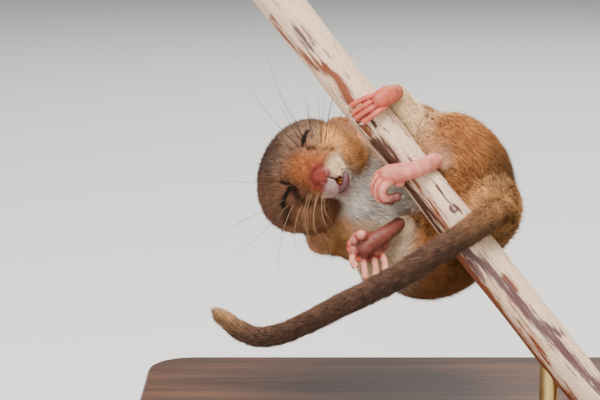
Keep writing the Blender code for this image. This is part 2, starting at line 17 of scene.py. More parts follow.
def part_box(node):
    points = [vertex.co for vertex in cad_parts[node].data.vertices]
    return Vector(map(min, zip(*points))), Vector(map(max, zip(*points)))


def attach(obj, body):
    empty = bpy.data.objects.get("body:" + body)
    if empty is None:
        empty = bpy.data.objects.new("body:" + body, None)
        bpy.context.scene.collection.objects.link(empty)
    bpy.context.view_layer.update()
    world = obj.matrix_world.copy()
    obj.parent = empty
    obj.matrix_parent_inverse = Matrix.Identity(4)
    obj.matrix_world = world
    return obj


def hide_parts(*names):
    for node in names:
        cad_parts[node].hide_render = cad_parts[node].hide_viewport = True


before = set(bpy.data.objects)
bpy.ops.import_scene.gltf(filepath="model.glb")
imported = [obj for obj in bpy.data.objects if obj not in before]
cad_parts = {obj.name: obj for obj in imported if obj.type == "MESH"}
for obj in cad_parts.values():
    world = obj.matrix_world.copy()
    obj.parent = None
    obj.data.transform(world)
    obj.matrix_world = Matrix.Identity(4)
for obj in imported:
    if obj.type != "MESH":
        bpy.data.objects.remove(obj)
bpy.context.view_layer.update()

bl_info = {
    "name": "Sleeping hazel dormouse",
    "version": (1, 0, 0),
    "blender": (4, 5, 0),
    "location": "View3D > Sidebar > Dormouse",
    "description": "Dresses the solids of a hazel dormouse on a twig with skin, coat and finishes",
    "category": "Add Mesh",
}

IMAGE_SIZE = (600, 400)

# The pose frame in the model's frame
MM = 0.001
LEAN = math.radians(10.0)
POSE_OVER_BASE = Vector((-20.0, -12.0, 47.0))
POSE = Matrix.Translation(POSE_OVER_BASE * MM) @ Matrix.Rotation(-LEAN, 4, "X") @ Matrix.Scale(MM, 4)

# Twig
TWIG_TOP = Vector((-8.7, 0.0, 41.0))
TWIG_FOOT = Vector((52.9, 0.0, -37.0))
TWIG_RADIUS = 3.45
TWIG_SWELL = 0.14

# Head, in its own frame: forward to the nose, left and up, from the middle of the skull
HEAD_CENTRE = Vector((0.7, 8.0, 4.2))
HEAD_ROLL = math.radians(18.0)
HEAD_NOD = math.radians(2.0)
HEAD_TURN = math.radians(5.5)
SKULL = (10.4, 10.3, 8.0)
BROW = ((6.0, 0.0, 0.4), (5.9, 4.4, 4.9))
NOSE = ((13.75, 0.0, -2.05), (1.8, 1.5, 1.45))
CHEEK = ((3.4, 5.4, -2.8), (5.4, 4.5, 4.6))
WHISKER_PAD = ((10.9, 1.8, -3.0), (2.9, 1.9, 2.1))
MUZZLE = ((6.0, 0.0, -1.4), (12.3, 0.0, -2.5), 5.0, 2.3)
JAW = ((2.0, 0.0, -4.2), (9.9, 0.0, -5.2), 3.6, 1.7)
CHEEK_FRONT = ((3.4, 5.3, -5.0), (4.9, 3.9, 4.4))
CHIN = ((9.0, 0.0, -5.7), (2.7, 2.0, 1.5))
NOSTRIL_WING = ((14.3, 0.78, -2.75), (0.85, 0.68, 0.72))
NOSTRIL = ((15.0, 1.2, -2.75), (15.0, 0.95, -3.05), (14.8, 0.62, -3.2))
UPPER_LIP = ((12.35, 0.85, -4.2), (1.6, 1.2, 1.4))
LIP_PADS = {1: ((10.4, 2.0, -3.7), (2.0, 1.6, 1.7)), -1: ((11.9, 1.45, -4.2), (1.8, 1.35, 1.6))}
LOWER_LIP = (
    *((11.9, 1.4, -5.8), (12.2, 0.85, -6.4), (12.35, 0.0, -6.6)),
    *((12.2, -0.9, -6.5), (11.9, -1.5, -6.1)),
)
LOWER_LIP_RADIUS = 0.72
MOUTH = ((13.2, 0.0, -5.4), (1.5, 0.5, 0.55))
PHILTRUM = ((16.2, 0.0, -1.4), (15.8, 0.0, -3.3))
LIP_LINE = ((13.2, 0.9, -5.5), (12.3, 1.75, -5.7), (10.9, 2.7, -5.5), (9.4, 3.6, -5.0))
INCISOR = ((12.1, 0.3, -4.9), (12.75, 0.27, -5.9), 0.36, 0.29)
MIDLINE_SHIFT = -0.5
MIDLINE_LEAN = -0.09
EYE_PLACE = (7.0, 4.4, 1.9)
EYE_RADIUS = 2.8
EYEBALL_RADIUS = 2.02
LID_RADIUS = 2.5
EYE_SLIT = 4.2
SLIT_TURN = 0.4
SLIT_RISE = 0.1
SLIT_DROOP = 0.5
SLIT_STEPS = 12
EAR_ROOT = {"left": (-3.4, 8.2, -3.4), "right": (-3.0, 8.0, -5.2)}
EAR_TIP = {"left": (-5.2, 12.5, -5.0), "right": (-4.8, 10.9, -8.6)}
EAR_OUT = {"left": (0.85, 0.4, 0.12), "right": (0.8, 0.55, 0.15)}
EAR_WIDTHS = {"left": 5.2, "right": 4.4}
EAR_CUP = 1.5
EAR_BOW = 0.6
EAR_THICKNESS = 0.42

# Tail: the middle of its coat from the rump to the tip, with the half width at each point
TAIL = (
    ((34.2, 3.5, -1.3), 4.0),
    ((33.3, -0.8, -1.9), 3.1),
    ((31.2, -5.1, -3.5), 2.6),
    ((27.3, -7.1, -6.2), 2.4),
    ((21.9, -8.6, -9.5), 2.3),
    ((16.8, -9.2, -12.7), 2.25),
    ((11.7, -9.2, -15.4), 2.2),
    ((6.7, -9.0, -17.8), 2.15),
    ((1.7, -8.5, -20.4), 2.05),
    ((-2.5, -7.5, -22.3), 1.95),
    ((-6.4, -6.2, -23.2), 1.9),
    ((-9.7, -4.9, -22.4), 1.85),
    ((-12.1, -4.0, -20.8), 1.65),
    ((-13.6, -3.5, -19.8), 1.35),
    ((-14.4, -3.2, -19.2), 0.7),
)
TAIL_STEPS = 3

# Trunk: middle and half widths of its coat, from the shoulders to the rump
TRUNK = (
    ((6.0, 13.5, 3.4), (7.6, 7.8, 8.4)),
    ((11.5, 16.0, 1.6), (8.5, 11.0, 10.8)),
    ((16.5, 17.5, 0.4), (9.0, 12.2, 12.0)),
    ((22.0, 18.0, -0.6), (9.5, 12.9, 13.0)),
    ((26.8, 16.2, -1.0), (9.5, 12.5, 13.0)),
    ((30.0, 11.5, -1.3), (8.3, 10.5, 10.5)),
    ((32.5, 6.0, -1.2), (6.4, 7.0, 8.0)),
)
RUFF = ((5.2, 14.6, -5.0), (4.8, 4.6, 4.8))

# Limbs
SIDES = (("left", 1), ("right", -1))
SHOULDER = {"left": (12.5, 13.0, 6.6), "right": (8.8, 12.0, -5.2)}
ELBOW = {"left": (21.0, 8.6, 12.0), "right": (16.8, 8.0, -10.4)}
WRIST = {"left": (17.0, 0.6, 18.4), "right": (12.2, 4.4, -9.6)}
UPPER_ARM_RADII = (5.6, 3.9)
FOREARM_RADII = (3.5, 1.9)
FOREARM_FILL = ((19.5, 5.5, 11.5), (16.0, 0.9, 16.4), 2.4, 1.6)
HIP = {"left": (28.0, 7.6, 5.4), "right": (22.6, 11.6, -8.8)}
HAUNCH = {"left": (11.4, 8.9, 6.9), "right": (11.2, 9.4, 9.0)}
ALONG_TWIG = (TWIG_FOOT - TWIG_TOP).to_track_quat("X", "Y").to_matrix()
HAUNCH_TURN = {"left": ALONG_TWIG, "right": Matrix.Identity(3)}
KNEE = {"left": (21.6, 10.0, 13.0), "right": (14.0, 7.4, -11.8)}
ANKLE = {"left": (24.2, 0.4, 6.5), "right": (18.3, 2.4, -4.2)}
SHANK_RADII = {"left": (4.2, 1.9), "right": (4.0, 1.9)}
FOOT_SOLE_RADII = (1.45, 1.5, 1.75)
RIGHT_SOLE_RADII = (1.15, 1.45, 1.95)
PALM_RADII = (1.3, 1.5, 1.4)
LEFT_PALM_RADII = (1.3, 1.7, 1.55)
TOE_RADII = (0.72, 0.62, 0.6, 0.6)
LEFT_TOE_RADII = (0.85, 0.8, 0.76, 0.74)
FINGER_RADII = (0.62, 0.52, 0.5, 0.5)
DIGIT_ROOT = 0.72
DIGIT_PAD = 1.2
LEFT_SOLE = ((23.0, -1.5, 6.7), (19.6, -5.35, 5.2), (15.3, -4.9, 4.4))
LEFT_TOES = (
    ((15.6, -5.5, 3.6), (14.0, -5.4, 1.9), (14.5, -4.5, 0.3), (16.5, -4.1, 0.5)),
    ((14.9, -5.2, 4.1), (13.3, -4.7, 2.2), (13.5, -3.6, 0.3), (15.5, -2.9, -0.1)),
    ((14.5, -4.4, 4.6), (12.9, -3.6, 3.0), (12.8, -2.3, 1.1), (14.6, -1.4, 0.4)),
    ((14.7, -3.7, 5.1), (13.2, -2.5, 4.0), (12.9, -1.1, 2.4), (14.2, 0.0, 1.5)),
)
LEFT_BIG_TOE = ((17.8, -5.0, 4.4), (17.3, -4.9, 3.7), (16.9, -4.5, 3.1))
RIGHT_SOLE = ((17.0, -0.1, -4.1), (14.4, -2.3, -6.0), (11.2, -3.4, -7.9))
RIGHT_TOES = (
    ((10.0, -3.4, -8.4), (9.1, -4.1, -9.4), (8.9, -4.9, -10.4), (9.3, -5.7, -11.1)),
    ((11.0, -3.3, -8.9), (10.9, -3.8, -10.6), (11.0, -4.4, -12.0), (11.1, -5.2, -13.1)),
    ((12.2, -2.9, -8.9), (12.7, -3.3, -10.4), (12.9, -3.7, -11.6), (12.9, -4.4, -12.7)),
    ((13.2, -2.3, -8.4), (14.1, -2.6, -9.7), (14.5, -3.0, -10.8), (14.6, -3.6, -11.8)),
)
RIGHT_BIG_TOE = ((11.6, -3.6, -6.9), (10.7, -4.6, -6.1), (10.4, -5.5, -5.9))
LEFT_PALM = ((16.4, -0.8, 18.5), (15.0, -3.4, 17.9), (13.4, -4.5, 17.0))
LEFT_FINGERS = (
    ((13.6, -4.5, 17.9), (11.9, -5.0, 17.6), (10.2, -4.6, 16.9), (9.0, -3.6, 16.2)),
    ((13.2, -4.7, 17.2), (11.6, -5.2, 16.4), (10.2, -4.9, 15.5), (9.2, -4.1, 14.8)),
    ((13.5, -4.8, 16.3), (12.0, -5.4, 15.5), (10.7, -5.2, 14.7), (9.7, -4.5, 14.0)),
    ((14.2, -4.8, 15.7), (13.0, -5.5, 14.8), (11.9, -5.5, 14.0), (11.0, -5.0, 13.4)),
)
RIGHT_PALM = ((13.0, 4.2, -9.4), (12.0, 2.8, -9.1), (11.1, 2.0, -8.8))
RIGHT_FINGERS = (
    ((11.3, 2.0, -7.8), (9.9, 1.5, -7.4), (9.2, 1.8, -6.5), (9.8, 2.8, -6.2)),
    ((10.9, 1.7, -8.5), (9.4, 1.2, -8.2), (8.6, 1.5, -7.4), (9.0, 2.5, -7.0)),
    ((10.9, 1.8, -9.4), (9.4, 1.3, -9.2), (8.5, 1.5, -8.5), (8.8, 2.5, -8.0)),
    ((11.3, 2.1, -10.2), (9.9, 1.6, -10.2), (8.9, 1.7, -9.6), (9.2, 2.7, -9.1)),
)
PAWS = {
    "foot_left": (LEFT_SOLE, FOOT_SOLE_RADII, LEFT_TOES, LEFT_TOE_RADII, LEFT_BIG_TOE),
    "foot_right": (RIGHT_SOLE, RIGHT_SOLE_RADII, RIGHT_TOES, TOE_RADII, RIGHT_BIG_TOE),
    "hand_left": (LEFT_PALM, LEFT_PALM_RADII, LEFT_FINGERS, FINGER_RADII, None),
    "hand_right": (RIGHT_PALM, PALM_RADII, RIGHT_FINGERS, FINGER_RADII, None),
}
SOLE_TURN = Matrix.Rotation(math.radians(35.0), 3, "Y")
SOLE_BALLS = (
    ((11.3, -3.0, -7.7), (3.0, 1.25, 2.3)),
    ((13.3, -2.3, -7.1), (2.2, 1.2, 1.7)),
    ((9.4, -4.0, -7.0), (1.0, 0.85, 0.8)),
    ((9.3, -4.0, -8.6), (0.95, 0.85, 0.8)),
    ((11.0, -4.0, -9.1), (0.9, 0.8, 0.75)),
    ((12.7, -3.5, -8.9), (0.85, 0.75, 0.7)),
    ((10.5, -4.7, -6.1), (1.05, 0.9, 0.9)),
)

# Mesh fineness
TRUNK_VOXEL = 0.5
TRUNK_SMOOTHING = 20
HEAD_VOXEL = 0.26
HEAD_SMOOTHING = 9
SKIN_VOXEL = 0.45
SKIN_SMOOTHING = 4
FINE_VOXEL = 0.13
FINE_SMOOTHING = 4
PAW_VOXEL = 0.175
FACE_VOXEL = 0.2
FACE_SMOOTHING = 24
FACE_GROWTH = 0.16
TUFTS_A_PIECE = 32000
PATCH = 0.003

Ball = namedtuple("Ball", "centre half turn")
Rod = namedtuple("Rod", "start end start_radius end_radius")
Coat = namedtuple("Coat", "depth length width density ticking")

# Coat of each region: depth, length and width of its tufts, tufts on a square millimetre, share of dark tips
COATS = {
    "head": Coat(0.75, 1.8, 0.11, 58.0, 0.12),
    "trunk": Coat(1.4, 3.0, 0.15, 25.0, 0.2),
    "arm_left": Coat(0.8, 1.5, 0.11, 40.0, 0.0),
    "arm_right": Coat(0.9, 1.8, 0.12, 34.0, 0.05),
    "thigh_left": Coat(1.2, 2.4, 0.135, 32.0, 0.28),
    "thigh_right": Coat(1.2, 2.4, 0.135, 32.0, 0.28),
    "shank_left": Coat(0.6, 1.3, 0.1, 40.0, 0.03),
    "shank_right": Coat(0.6, 1.3, 0.1, 40.0, 0.03),
    "tail": Coat(0.7, 1.8, 0.11, 42.0, 0.16),
}


def light(red, green, blue):
    """A colour given as it shows on a screen, 0 to 255, in linear light."""
    shares = (v / 255 for v in (red, green, blue))
    return tuple(v / 12.92 if v <= 0.04045 else ((v + 0.055) / 1.055) ** 2.4 for v in shares)


def row(vector):
    return np.array(tuple(vector), float)


def lengths_of(rows):
    return np.linalg.norm(rows, axis=1)


def unit(rows):
    return rows / np.maximum(np.linalg.norm(rows, axis=-1, keepdims=True), 1e-9)


def ramp(low, high, value):
    """0 at low and 1 at high, smooth between them."""
    share = np.clip((value - low) / (high - low), 0.0, 1.0)
    return share * share * (3 - 2 * share)


def blend(first, second, share):
    """Rows of first turned into rows of second by a share for each row."""
    return first + (np.asarray(second) - first) * np.asarray(share)[..., None]


def head_axes():
    """Forward, left and up of the head, as the columns of a matrix."""
    up = Vector((-math.cos(HEAD_ROLL), 0.0, math.sin(HEAD_ROLL)))
    left = Vector((math.sin(HEAD_ROLL), 0.0, math.cos(HEAD_ROLL)))
    level = Matrix((Vector((0.0, -1.0, 0.0)), left, up)).transposed()
    return level @ Matrix.Rotation(HEAD_TURN, 3, "Z") @ Matrix.Rotation(HEAD_NOD, 3, "Y")


HEAD = head_axes()
HEAD_ROWS = np.array(HEAD)


def on_head(place, side=1):
    """A place in the head's frame, mirrored for side -1, as a point of the pose frame."""
    return HEAD_CENTRE + HEAD @ Vector((place[0], place[1] * side, place[2]))


def on_face(place, side=1):
    """A place of the nose or mouth, whose middle line lies a little to the right of the head's."""
    middle = MIDLINE_SHIFT + MIDLINE_LEAN * (place[2] + 2.0)
    return on_head((place[0], place[1] * side + middle, place[2]))


def head_ball(place, half, side=1):
    return Ball(on_head(place, side), half, HEAD)


def face_ball(place, half, side=1):
    return Ball(on_face(place, side), half, HEAD)


def face_line(places, side=1):
    return np.array([on_face(place, side) for place in places])


def head_rod(start, end, start_radius, end_radius, side=1):
    return Rod(on_head(start, side), on_head(end, side), start_radius, end_radius)


def smooth_path(points, steps):
    """Points on a Catmull-Rom curve through points, which may hold more than three numbers each."""
    rows = np.array([tuple(p) for p in points], float)
    rows = np.vstack([rows[:1], rows, rows[-1:]])
    path = []
    for i in range(1, len(rows) - 2):
        for step in range(steps):
            t = step / steps
            weights = (
                0.5 * (-t + 2 * t**2 - t**3),
                0.5 * (2 - 5 * t**2 + 3 * t**3),
                0.5 * (t + 4 * t**2 - 3 * t**3),
                0.5 * (-(t**2) + t**3),
            )
            path.append(sum(w * r for w, r in zip(weights, rows[i - 1 : i + 3])))
    path.append(rows[-1])
    return np.array(path)


def chain(points, radii, steps=3):
    """Tapering rods end to end along a smooth curve."""
    path = smooth_path([(*p, r) for p, r in zip(points, radii)], steps)
    return [Rod(a[:3], b[:3], a[3], b[3]) for a, b in zip(path, path[1:])]


def head_forms():
    """Skull, muzzle, jaw, cheeks and the domes of the shut eyes."""
    forms = [head_ball((0.0, 0.0, 0.0), SKULL), head_ball(*BROW), face_ball(*NOSE), head_ball(*CHEEK_FRONT)]
    forms += [head_rod(*MUZZLE), head_rod(*JAW), face_ball(*CHIN)]
    for _, side in SIDES:
        forms += [head_ball(*CHEEK, side), head_ball(*WHISKER_PAD, side)]
        forms.append(head_ball(EYE_PLACE, (EYE_RADIUS,) * 3, side))
    return forms


def region_forms():
    """The forms of each region of the body."""
    forms = {"head": head_forms(), "trunk": [Ball(c, h, None) for c, h in (*TRUNK, RUFF)]}
    for side, _ in SIDES:
        forms["arm_" + side] = [
            Rod(SHOULDER[side], ELBOW[side], *UPPER_ARM_RADII),
            Rod(ELBOW[side], WRIST[side], *FOREARM_RADII),
        ]
        forms["thigh_" + side] = [Ball(HIP[side], HAUNCH[side], HAUNCH_TURN[side])]
        forms["shank_" + side] = [Rod(KNEE[side], ANKLE[side], *SHANK_RADII[side])]
    forms["arm_left"].append(Rod(*FOREARM_FILL))
    forms["tail"] = chain([p for p, _ in TAIL], [r for _, r in TAIL], TAIL_STEPS)
    return forms


def paw_forms(sole, sole_radii, digits, digit_radii, thumb):
    """A hand or foot: palm or sole, digits with a pad at each tip, and a short inner digit."""
    forms = chain(sole, sole_radii)
    for digit in digits:
        forms += chain(digit, digit_radii)
        forms.append(Rod(sole[-1], digit[0], sole_radii[-1] * DIGIT_ROOT, digit_radii[0]))
        forms.append(Ball(digit[-1], (digit_radii[-1] * DIGIT_PAD,) * 3, None))
    if thumb:
        forms += chain(thumb, digit_radii[:3])
        forms.append(Ball(thumb[-1], (digit_radii[0] * DIGIT_PAD,) * 3, None))
    return forms


FORMS = region_forms()
PAW_FORMS = {name: paw_forms(*given) for name, given in PAWS.items()}
PAW_FORMS["foot_right"] += [Ball(c, h, SOLE_TURN) for c, h in SOLE_BALLS]
PATHS = {
    "head": np.array([on_face(NOSE[0]), on_head((-10.4, 0.0, 0.0))]),
    "trunk": np.array([row(c) for c, _ in TRUNK]),
    "tail": smooth_path([p for p, _ in TAIL], TAIL_STEPS),
}
for SIDE, _ in SIDES:
    PATHS["arm_" + SIDE] = np.array([SHOULDER[SIDE], ELBOW[SIDE], WRIST[SIDE]], float)
    PATHS["thigh_" + SIDE] = np.array([KNEE[SIDE], HIP[SIDE], TAIL[0][0]], float)
    PATHS["shank_" + SIDE] = np.array([KNEE[SIDE], ANKLE[SIDE]], float)
NOSE_POINT = row(on_face(NOSE[0]))


def slit_path(side):
    """The line where the shut lids meet, on the dome of the eye."""
    line = []
    for step in range(SLIT_STEPS + 1):
        t = step / SLIT_STEPS - 0.5
        swing = SLIT_TURN + t * EYE_SLIT / LID_RADIUS
        out = Vector((math.cos(swing), math.sin(swing), SLIT_RISE - SLIT_DROOP * t * t)).normalized()
        line.append(on_head(Vector(EYE_PLACE) + out * LID_RADIUS, side))
    return np.array(line)


SLITS = {side: slit_path(sign) for side, sign in SIDES}


def off_slit(side, points):
    """Distance from the shut eye's slit, counted larger towards its fine ends."""
    share, _, spot = along_path(SLITS[side], points)
    fineness = np.sin(math.pi * np.clip(share, 0.02, 0.98)) ** 0.6
    return lengths_of(points - spot) / (0.45 + 0.55 * fineness)


LIPS = {side: face_line(LIP_LINE, sign) for side, sign in SIDES}
NOSTRILS = [face_line(NOSTRIL, sign) for _, sign in SIDES]
LOWER = face_line(LOWER_LIP)


# Dark lines in the coat of the face, in the plane of the pose frame, with their width and strength
FACE_MARKS = (
    # The first two lines are dark hair at the right eye and the right whisker roots, deepened with painted
    # shade; the third is painted shade below the right eye; the last is the dark roots of the left whiskers.
    (((-2.6, 3.05), (-1.6, 2.75), (-0.4, 2.1)), 0.7, 1.0),
    (((-1.2, 1.8), (0.2, 0.7), (1.5, -0.1)), 1.1, 0.85),
    (((-2.6, -0.9), (-1.4, -3.4)), 1.7, 0.75),
    (((1.5, 8.4), (3.4, 8.45), (5.2, 8.3)), 0.6, 1.0),
)


def on_front(x, z):
    """The place just under the head's surface that lies behind x and z of the pose frame."""
    spot = np.array((x, -20.0, z))
    for _ in range(40):
        spot[1] += 0.7 * off_forms(FORMS["head"], spot[None])[0]
    return spot + (0.0, 0.3, 0.0)


def follicle_places():
    """Where the whiskers' roots dimple the two pads, on the forms' surface."""
    found = []
    for _, side in SIDES:
        for line in range(3):
            for step in range(4):
                place = Vector((13.1 - 0.55 * step, 1.15 + 0.62 * step, -3.55 - 0.62 * line + 0.1 * step))
                out = Vector((0.8, 0.55, -0.2)).normalized()
                spot = row(on_face(place, side))
                way = row(HEAD @ Vector((out.x, out.y * side, out.z)))
                for _ in range(12):
                    far = min(off_face(part, spot[None], side)[0] for part in (UPPER_LIP, LIP_PADS[side]))
                    spot = spot - way * far * 0.8
                found.append(spot)
    return np.array(found)


def along_path(path, points):
    """The path's place nearest each point: its share of the path's length, the way there, and itself."""
    lengths = lengths_of(np.diff(path, axis=0))
    starts = np.concatenate([[0.0], np.cumsum(lengths)])
    nearest = np.full(len(points), 1e9)
    share, way, spot = np.zeros(len(points)), np.zeros((len(points), 3)), np.zeros((len(points), 3))
    for i, length in enumerate(lengths):
        step = (path[i + 1] - path[i]) / length
        t = np.clip((points - path[i]) @ step, 0.0, length)
        place = path[i] + t[:, None] * step
        far = lengths_of(points - place)
        close = far < nearest
        nearest[close] = far[close]
        share[close] = (starts[i] + t[close]) / starts[-1]
        way[close] = step
        spot[close] = place[close]
    return share, way, spot


def off_path(path, points):
    return lengths_of(points - along_path(path, points)[2])


def off_form(form, points):
    """About how far each point lies outside the form."""
    if isinstance(form, Ball):
        local = points - row(form.centre)
        if form.turn is not None:
            local = local @ np.array(form.turn)
        near = lengths_of(local / form.half)
        steep = lengths_of(local / np.square(form.half))
        return near * (near - 1.0) / np.maximum(steep, 1e-6)
    start, end = row(form.start), row(form.end)
    step = end - start
    t = np.clip((points - start) @ step / (step @ step), 0.0, 1.0)
    far = lengths_of(points - start - t[:, None] * step)
    return far - (form.start_radius + (form.end_radius - form.start_radius) * t)


def off_face(part, points, side=1):
    return off_form(face_ball(*part, side), points)


def off_forms(forms, points):
    return np.min([off_form(form, points) for form in forms], axis=0)


FOLLICLES = follicle_places()
MARK_LINES = [np.array([on_front(*place) for place in line]) for line, _, _ in FACE_MARKS]
MARK_WIDTHS = [width for _, width, _ in FACE_MARKS]
MARK_STRENGTHS = [strength for _, _, strength in FACE_MARKS]


def region_weights(points):
    """How much each region's coat counts at each point."""
    far = np.array([off_forms(forms, points) for forms in FORMS.values()])
    weights = np.exp(-np.clip(far - far.min(0), 0.0, 30.0) / 0.7)
    return dict(zip(FORMS, weights / weights.sum(0)))


def coat_scale(points):
    """How long the coat is at each point, as a share of its region's: short on the face, wrists and lids."""
    face = 0.3 + 0.7 * ramp(2.0, 8.5, lengths_of(points - NOSE_POINT))
    limbs = np.ones(len(points))
    for joint in (*WRIST.values(), *ANKLE.values()):
        limbs = np.minimum(limbs, 0.4 + 0.6 * ramp(1.0, 7.0, lengths_of(points - row(joint))))
    lids = np.ones(len(points))
    for path in SLITS.values():
        lids = np.minimum(lids, 0.3 + 0.7 * ramp(0.3, 2.6, off_path(path, points)))
    tip = 0.9 + 0.1 * ramp(0.0, 4.0, lengths_of(points - row(TAIL[-1][0])))
    return face * limbs * lids * tip


def of_coat(weights, name):
    return sum(weights[region] * getattr(coat, name) for region, coat in COATS.items())


def in_cleft(points, width):
    """1 in the parting of the upper lip, on the middle line between nose and teeth."""
    local = (points - row(HEAD_CENTRE)) @ HEAD_ROWS
    off = local[:, 1] - MIDLINE_SHIFT - MIDLINE_LEAN * (local[:, 2] + 2.0)
    span = ramp(-3.0, -3.5, local[:, 2]) * ramp(-5.4, -5.1, local[:, 2]) * ramp(11.0, 12.0, local[:, 0])
    return np.exp(-((off / width) ** 2)) * span


def face_bareness(points):
    """1 on the bare skin of the nose, lips and lid rims, 0 under the coat."""
    bare = [ramp(0.55, -0.3, off_face(NOSE, points)), in_cleft(points, 0.35)]
    for name, side in SIDES:
        hairless = 0.1 if side > 0 else 0.6
        bare += [
            ramp(0.35, 0.05, off_face(NOSTRIL_WING, points, side)),
            hairless * ramp(0.5, 0.0, off_face(UPPER_LIP, points, side)),
            ramp(0.27, 0.15, off_slit(name, points)),
            ramp(0.4, 0.2, off_path(LIPS[name], points)),
        ]
    bare.append(0.58 * ramp(0.5, 0.0, off_face(LIP_PADS[-1], points, -1)))
    bare.append(ramp(0.5, 0.25, off_face(MOUTH, points)))
    bare.append(ramp(1.05, 0.85, off_path(LOWER, points)))
    return np.max(bare, axis=0)


def fur_colours(settings, points, weights):
    """Colour of the coat at each point."""
    shade = {key: np.array(getattr(settings, key)) for key in FUR_COLOURS}
    local = (points - row(HEAD_CENTRE)) @ HEAD_ROWS
    side, up = np.abs(local[:, 1]), local[:, 2]
    nose = lengths_of(points - NOSE_POINT)
    head = blend(shade["crown"], shade["forehead"], ramp(7.5, 3.0, up) * ramp(-2.0, 3.0, local[:, 0]))
    head = blend(head, shade["muzzle"], ramp(9.0, 3.5, nose))
    head = blend(head, shade["gold"], ramp(1.0, -1.5, up) * ramp(2.5, 5.0, side))
    # Painted shade: a darker brown over the right side of the face.
    head = blend(head, shade["russet"], 0.85 * ramp(-0.8, -3.2, local[:, 1]) * ramp(1.6, 3.8, nose))
    head = blend(head, shade["muzzle"] * (0.85, 0.58, 1.2), ramp(3.2, 1.7, nose) * ramp(-3.8, -3.2, up))
    left = local[:, 1]
    border = 3.1 + 1.4 * ramp(-5.2, -2.8, up)
    # Cream on the left cheek only: partly the cheek's own colour and partly painted light on the lit side.
    cream = ramp(-1.5, -3.0, up + 0.2 * left) * ramp(border + 1.2, border - 0.2, left) * ramp(-0.3, 0.9, left)
    head = blend(head, shade["cream"] * (1.0, 0.88, 0.76), cream * ramp(3.0, 7.0, local[:, 0]))
    white = ramp(-4.6, -6.0, up) * ramp(border + 0.6, border - 0.8, left) * ramp(-2.8, -1.8, left)
    head = blend(head, shade["white"], white)
    pad = off_face(LIP_PADS[-1], points, -1)
    lip = ramp(-2.8, -1.8, left) * ramp(0.6, -0.4, left) * ramp(-2.9, -3.6, up)
    lip = np.maximum(lip, 0.8 * ramp(0.8, 0.2, pad) * ramp(-3.0, -4.0, up))
    head = blend(head, shade["lip_hair"], lip * ramp(8.0, 10.0, local[:, 0]))
    # Dark lines of the face, among them painted shade below the right eye.
    for path, width, strength in zip(MARK_LINES, MARK_WIDTHS, MARK_STRENGTHS):
        head = blend(head, shade["dark"], strength * ramp(width, 0.3 * width, off_path(path, points)))
    for name in SLITS:
        head = blend(head, shade["dark"] * 0.6, ramp(0.5, 0.25, off_slit(name, points)))
    share, _, spot = along_path(PATHS["trunk"], points)
    belly = unit(points - spot) @ np.array((0.0, -1.0, 0.0)) * ramp(0.98, 0.8, share)
    trunk = blend(shade["back"], shade["gold"], ramp(-0.7, 0.1, belly))
    trunk = blend(trunk, shade["cream"], ramp(0.4, 0.75, belly))
    trunk = blend(trunk, shade["white"], ramp(0.25, 0.6, belly) * ramp(26.0, 17.0, points[:, 0]))
    # Painted shade: a darker brown on the ruff under the head.
    trunk = blend(trunk, shade["russet"], ramp(2.4, 0.0, off_form(Ball(*RUFF, None), points)))
    colours = weights["head"][:, None] * head + weights["trunk"][:, None] * trunk
    for name, _ in SIDES:
        share = along_path(PATHS["arm_" + name], points)[0]
        arm = blend(shade["gold"], shade["cream"] * (0.96, 0.88, 0.75), ramp(0.05, 0.35, share))
        share = along_path(PATHS["thigh_" + name], points)[0]
        thigh = blend(shade["gold" if name == "left" else "cream"], shade["haunch"], ramp(0.0, 0.2, share))
        # Darker towards the rear: partly the back's own colour and partly painted shade where the light falls
        # off.
        thigh = blend(thigh, shade["back"], 0.95 * ramp(0.45, 0.9, share))
        shank = shade["cream"] + (shade["haunch"] - shade["cream"]) * (0.7 if name == "left" else 0.3)
        colours += weights["arm_" + name][:, None] * arm
        colours += weights["thigh_" + name][:, None] * thigh
        colours += weights["shank_" + name][:, None] * shank
    # Painted shade: the underside of the trunk and the right thigh darkened.
    low = ramp(-8.0, -13.0, points[:, 2]) * (weights["trunk"] + weights["thigh_right"])
    colours = blend(colours, colours * np.array((0.34, 0.33, 0.34)), low)
    # Painted shade on the right shoulder and arm under the head.
    painted_shoulder_shade = weights["arm_right"] + weights["trunk"] * ramp(18.0, 12.0, points[:, 0])
    painted_shoulder_shade = painted_shoulder_shade * ramp(-3.0, -8.0, points[:, 2])
    colours = blend(colours, colours * np.array((0.42, 0.36, 0.32)), painted_shoulder_shade)
    # Painted shade at the rear end of the body.
    painted_rump_shade = ramp(30.5, 35.0, points[:, 0]) * (weights["thigh_left"] + weights["trunk"])
    colours = blend(colours, colours * np.array((0.6, 0.62, 0.68)), painted_rump_shade)
    share, _, spot = along_path(PATHS["tail"], points)
    tail = blend(0.7 * shade["back"] + 0.3 * shade["gold"], shade["tail"], ramp(0.04, 0.3, share))
    tail = blend(tail, shade["tail_tip"], ramp(0.86, 1.0, share))
    # Painted light and shade: the top of the tail lighter, its underside darker.
    tail = tail * (0.65 + 1.0 * ramp(-0.3, 0.9, unit(points - spot)[:, 2]))[:, None]
    return colours + weights["tail"][:, None] * tail


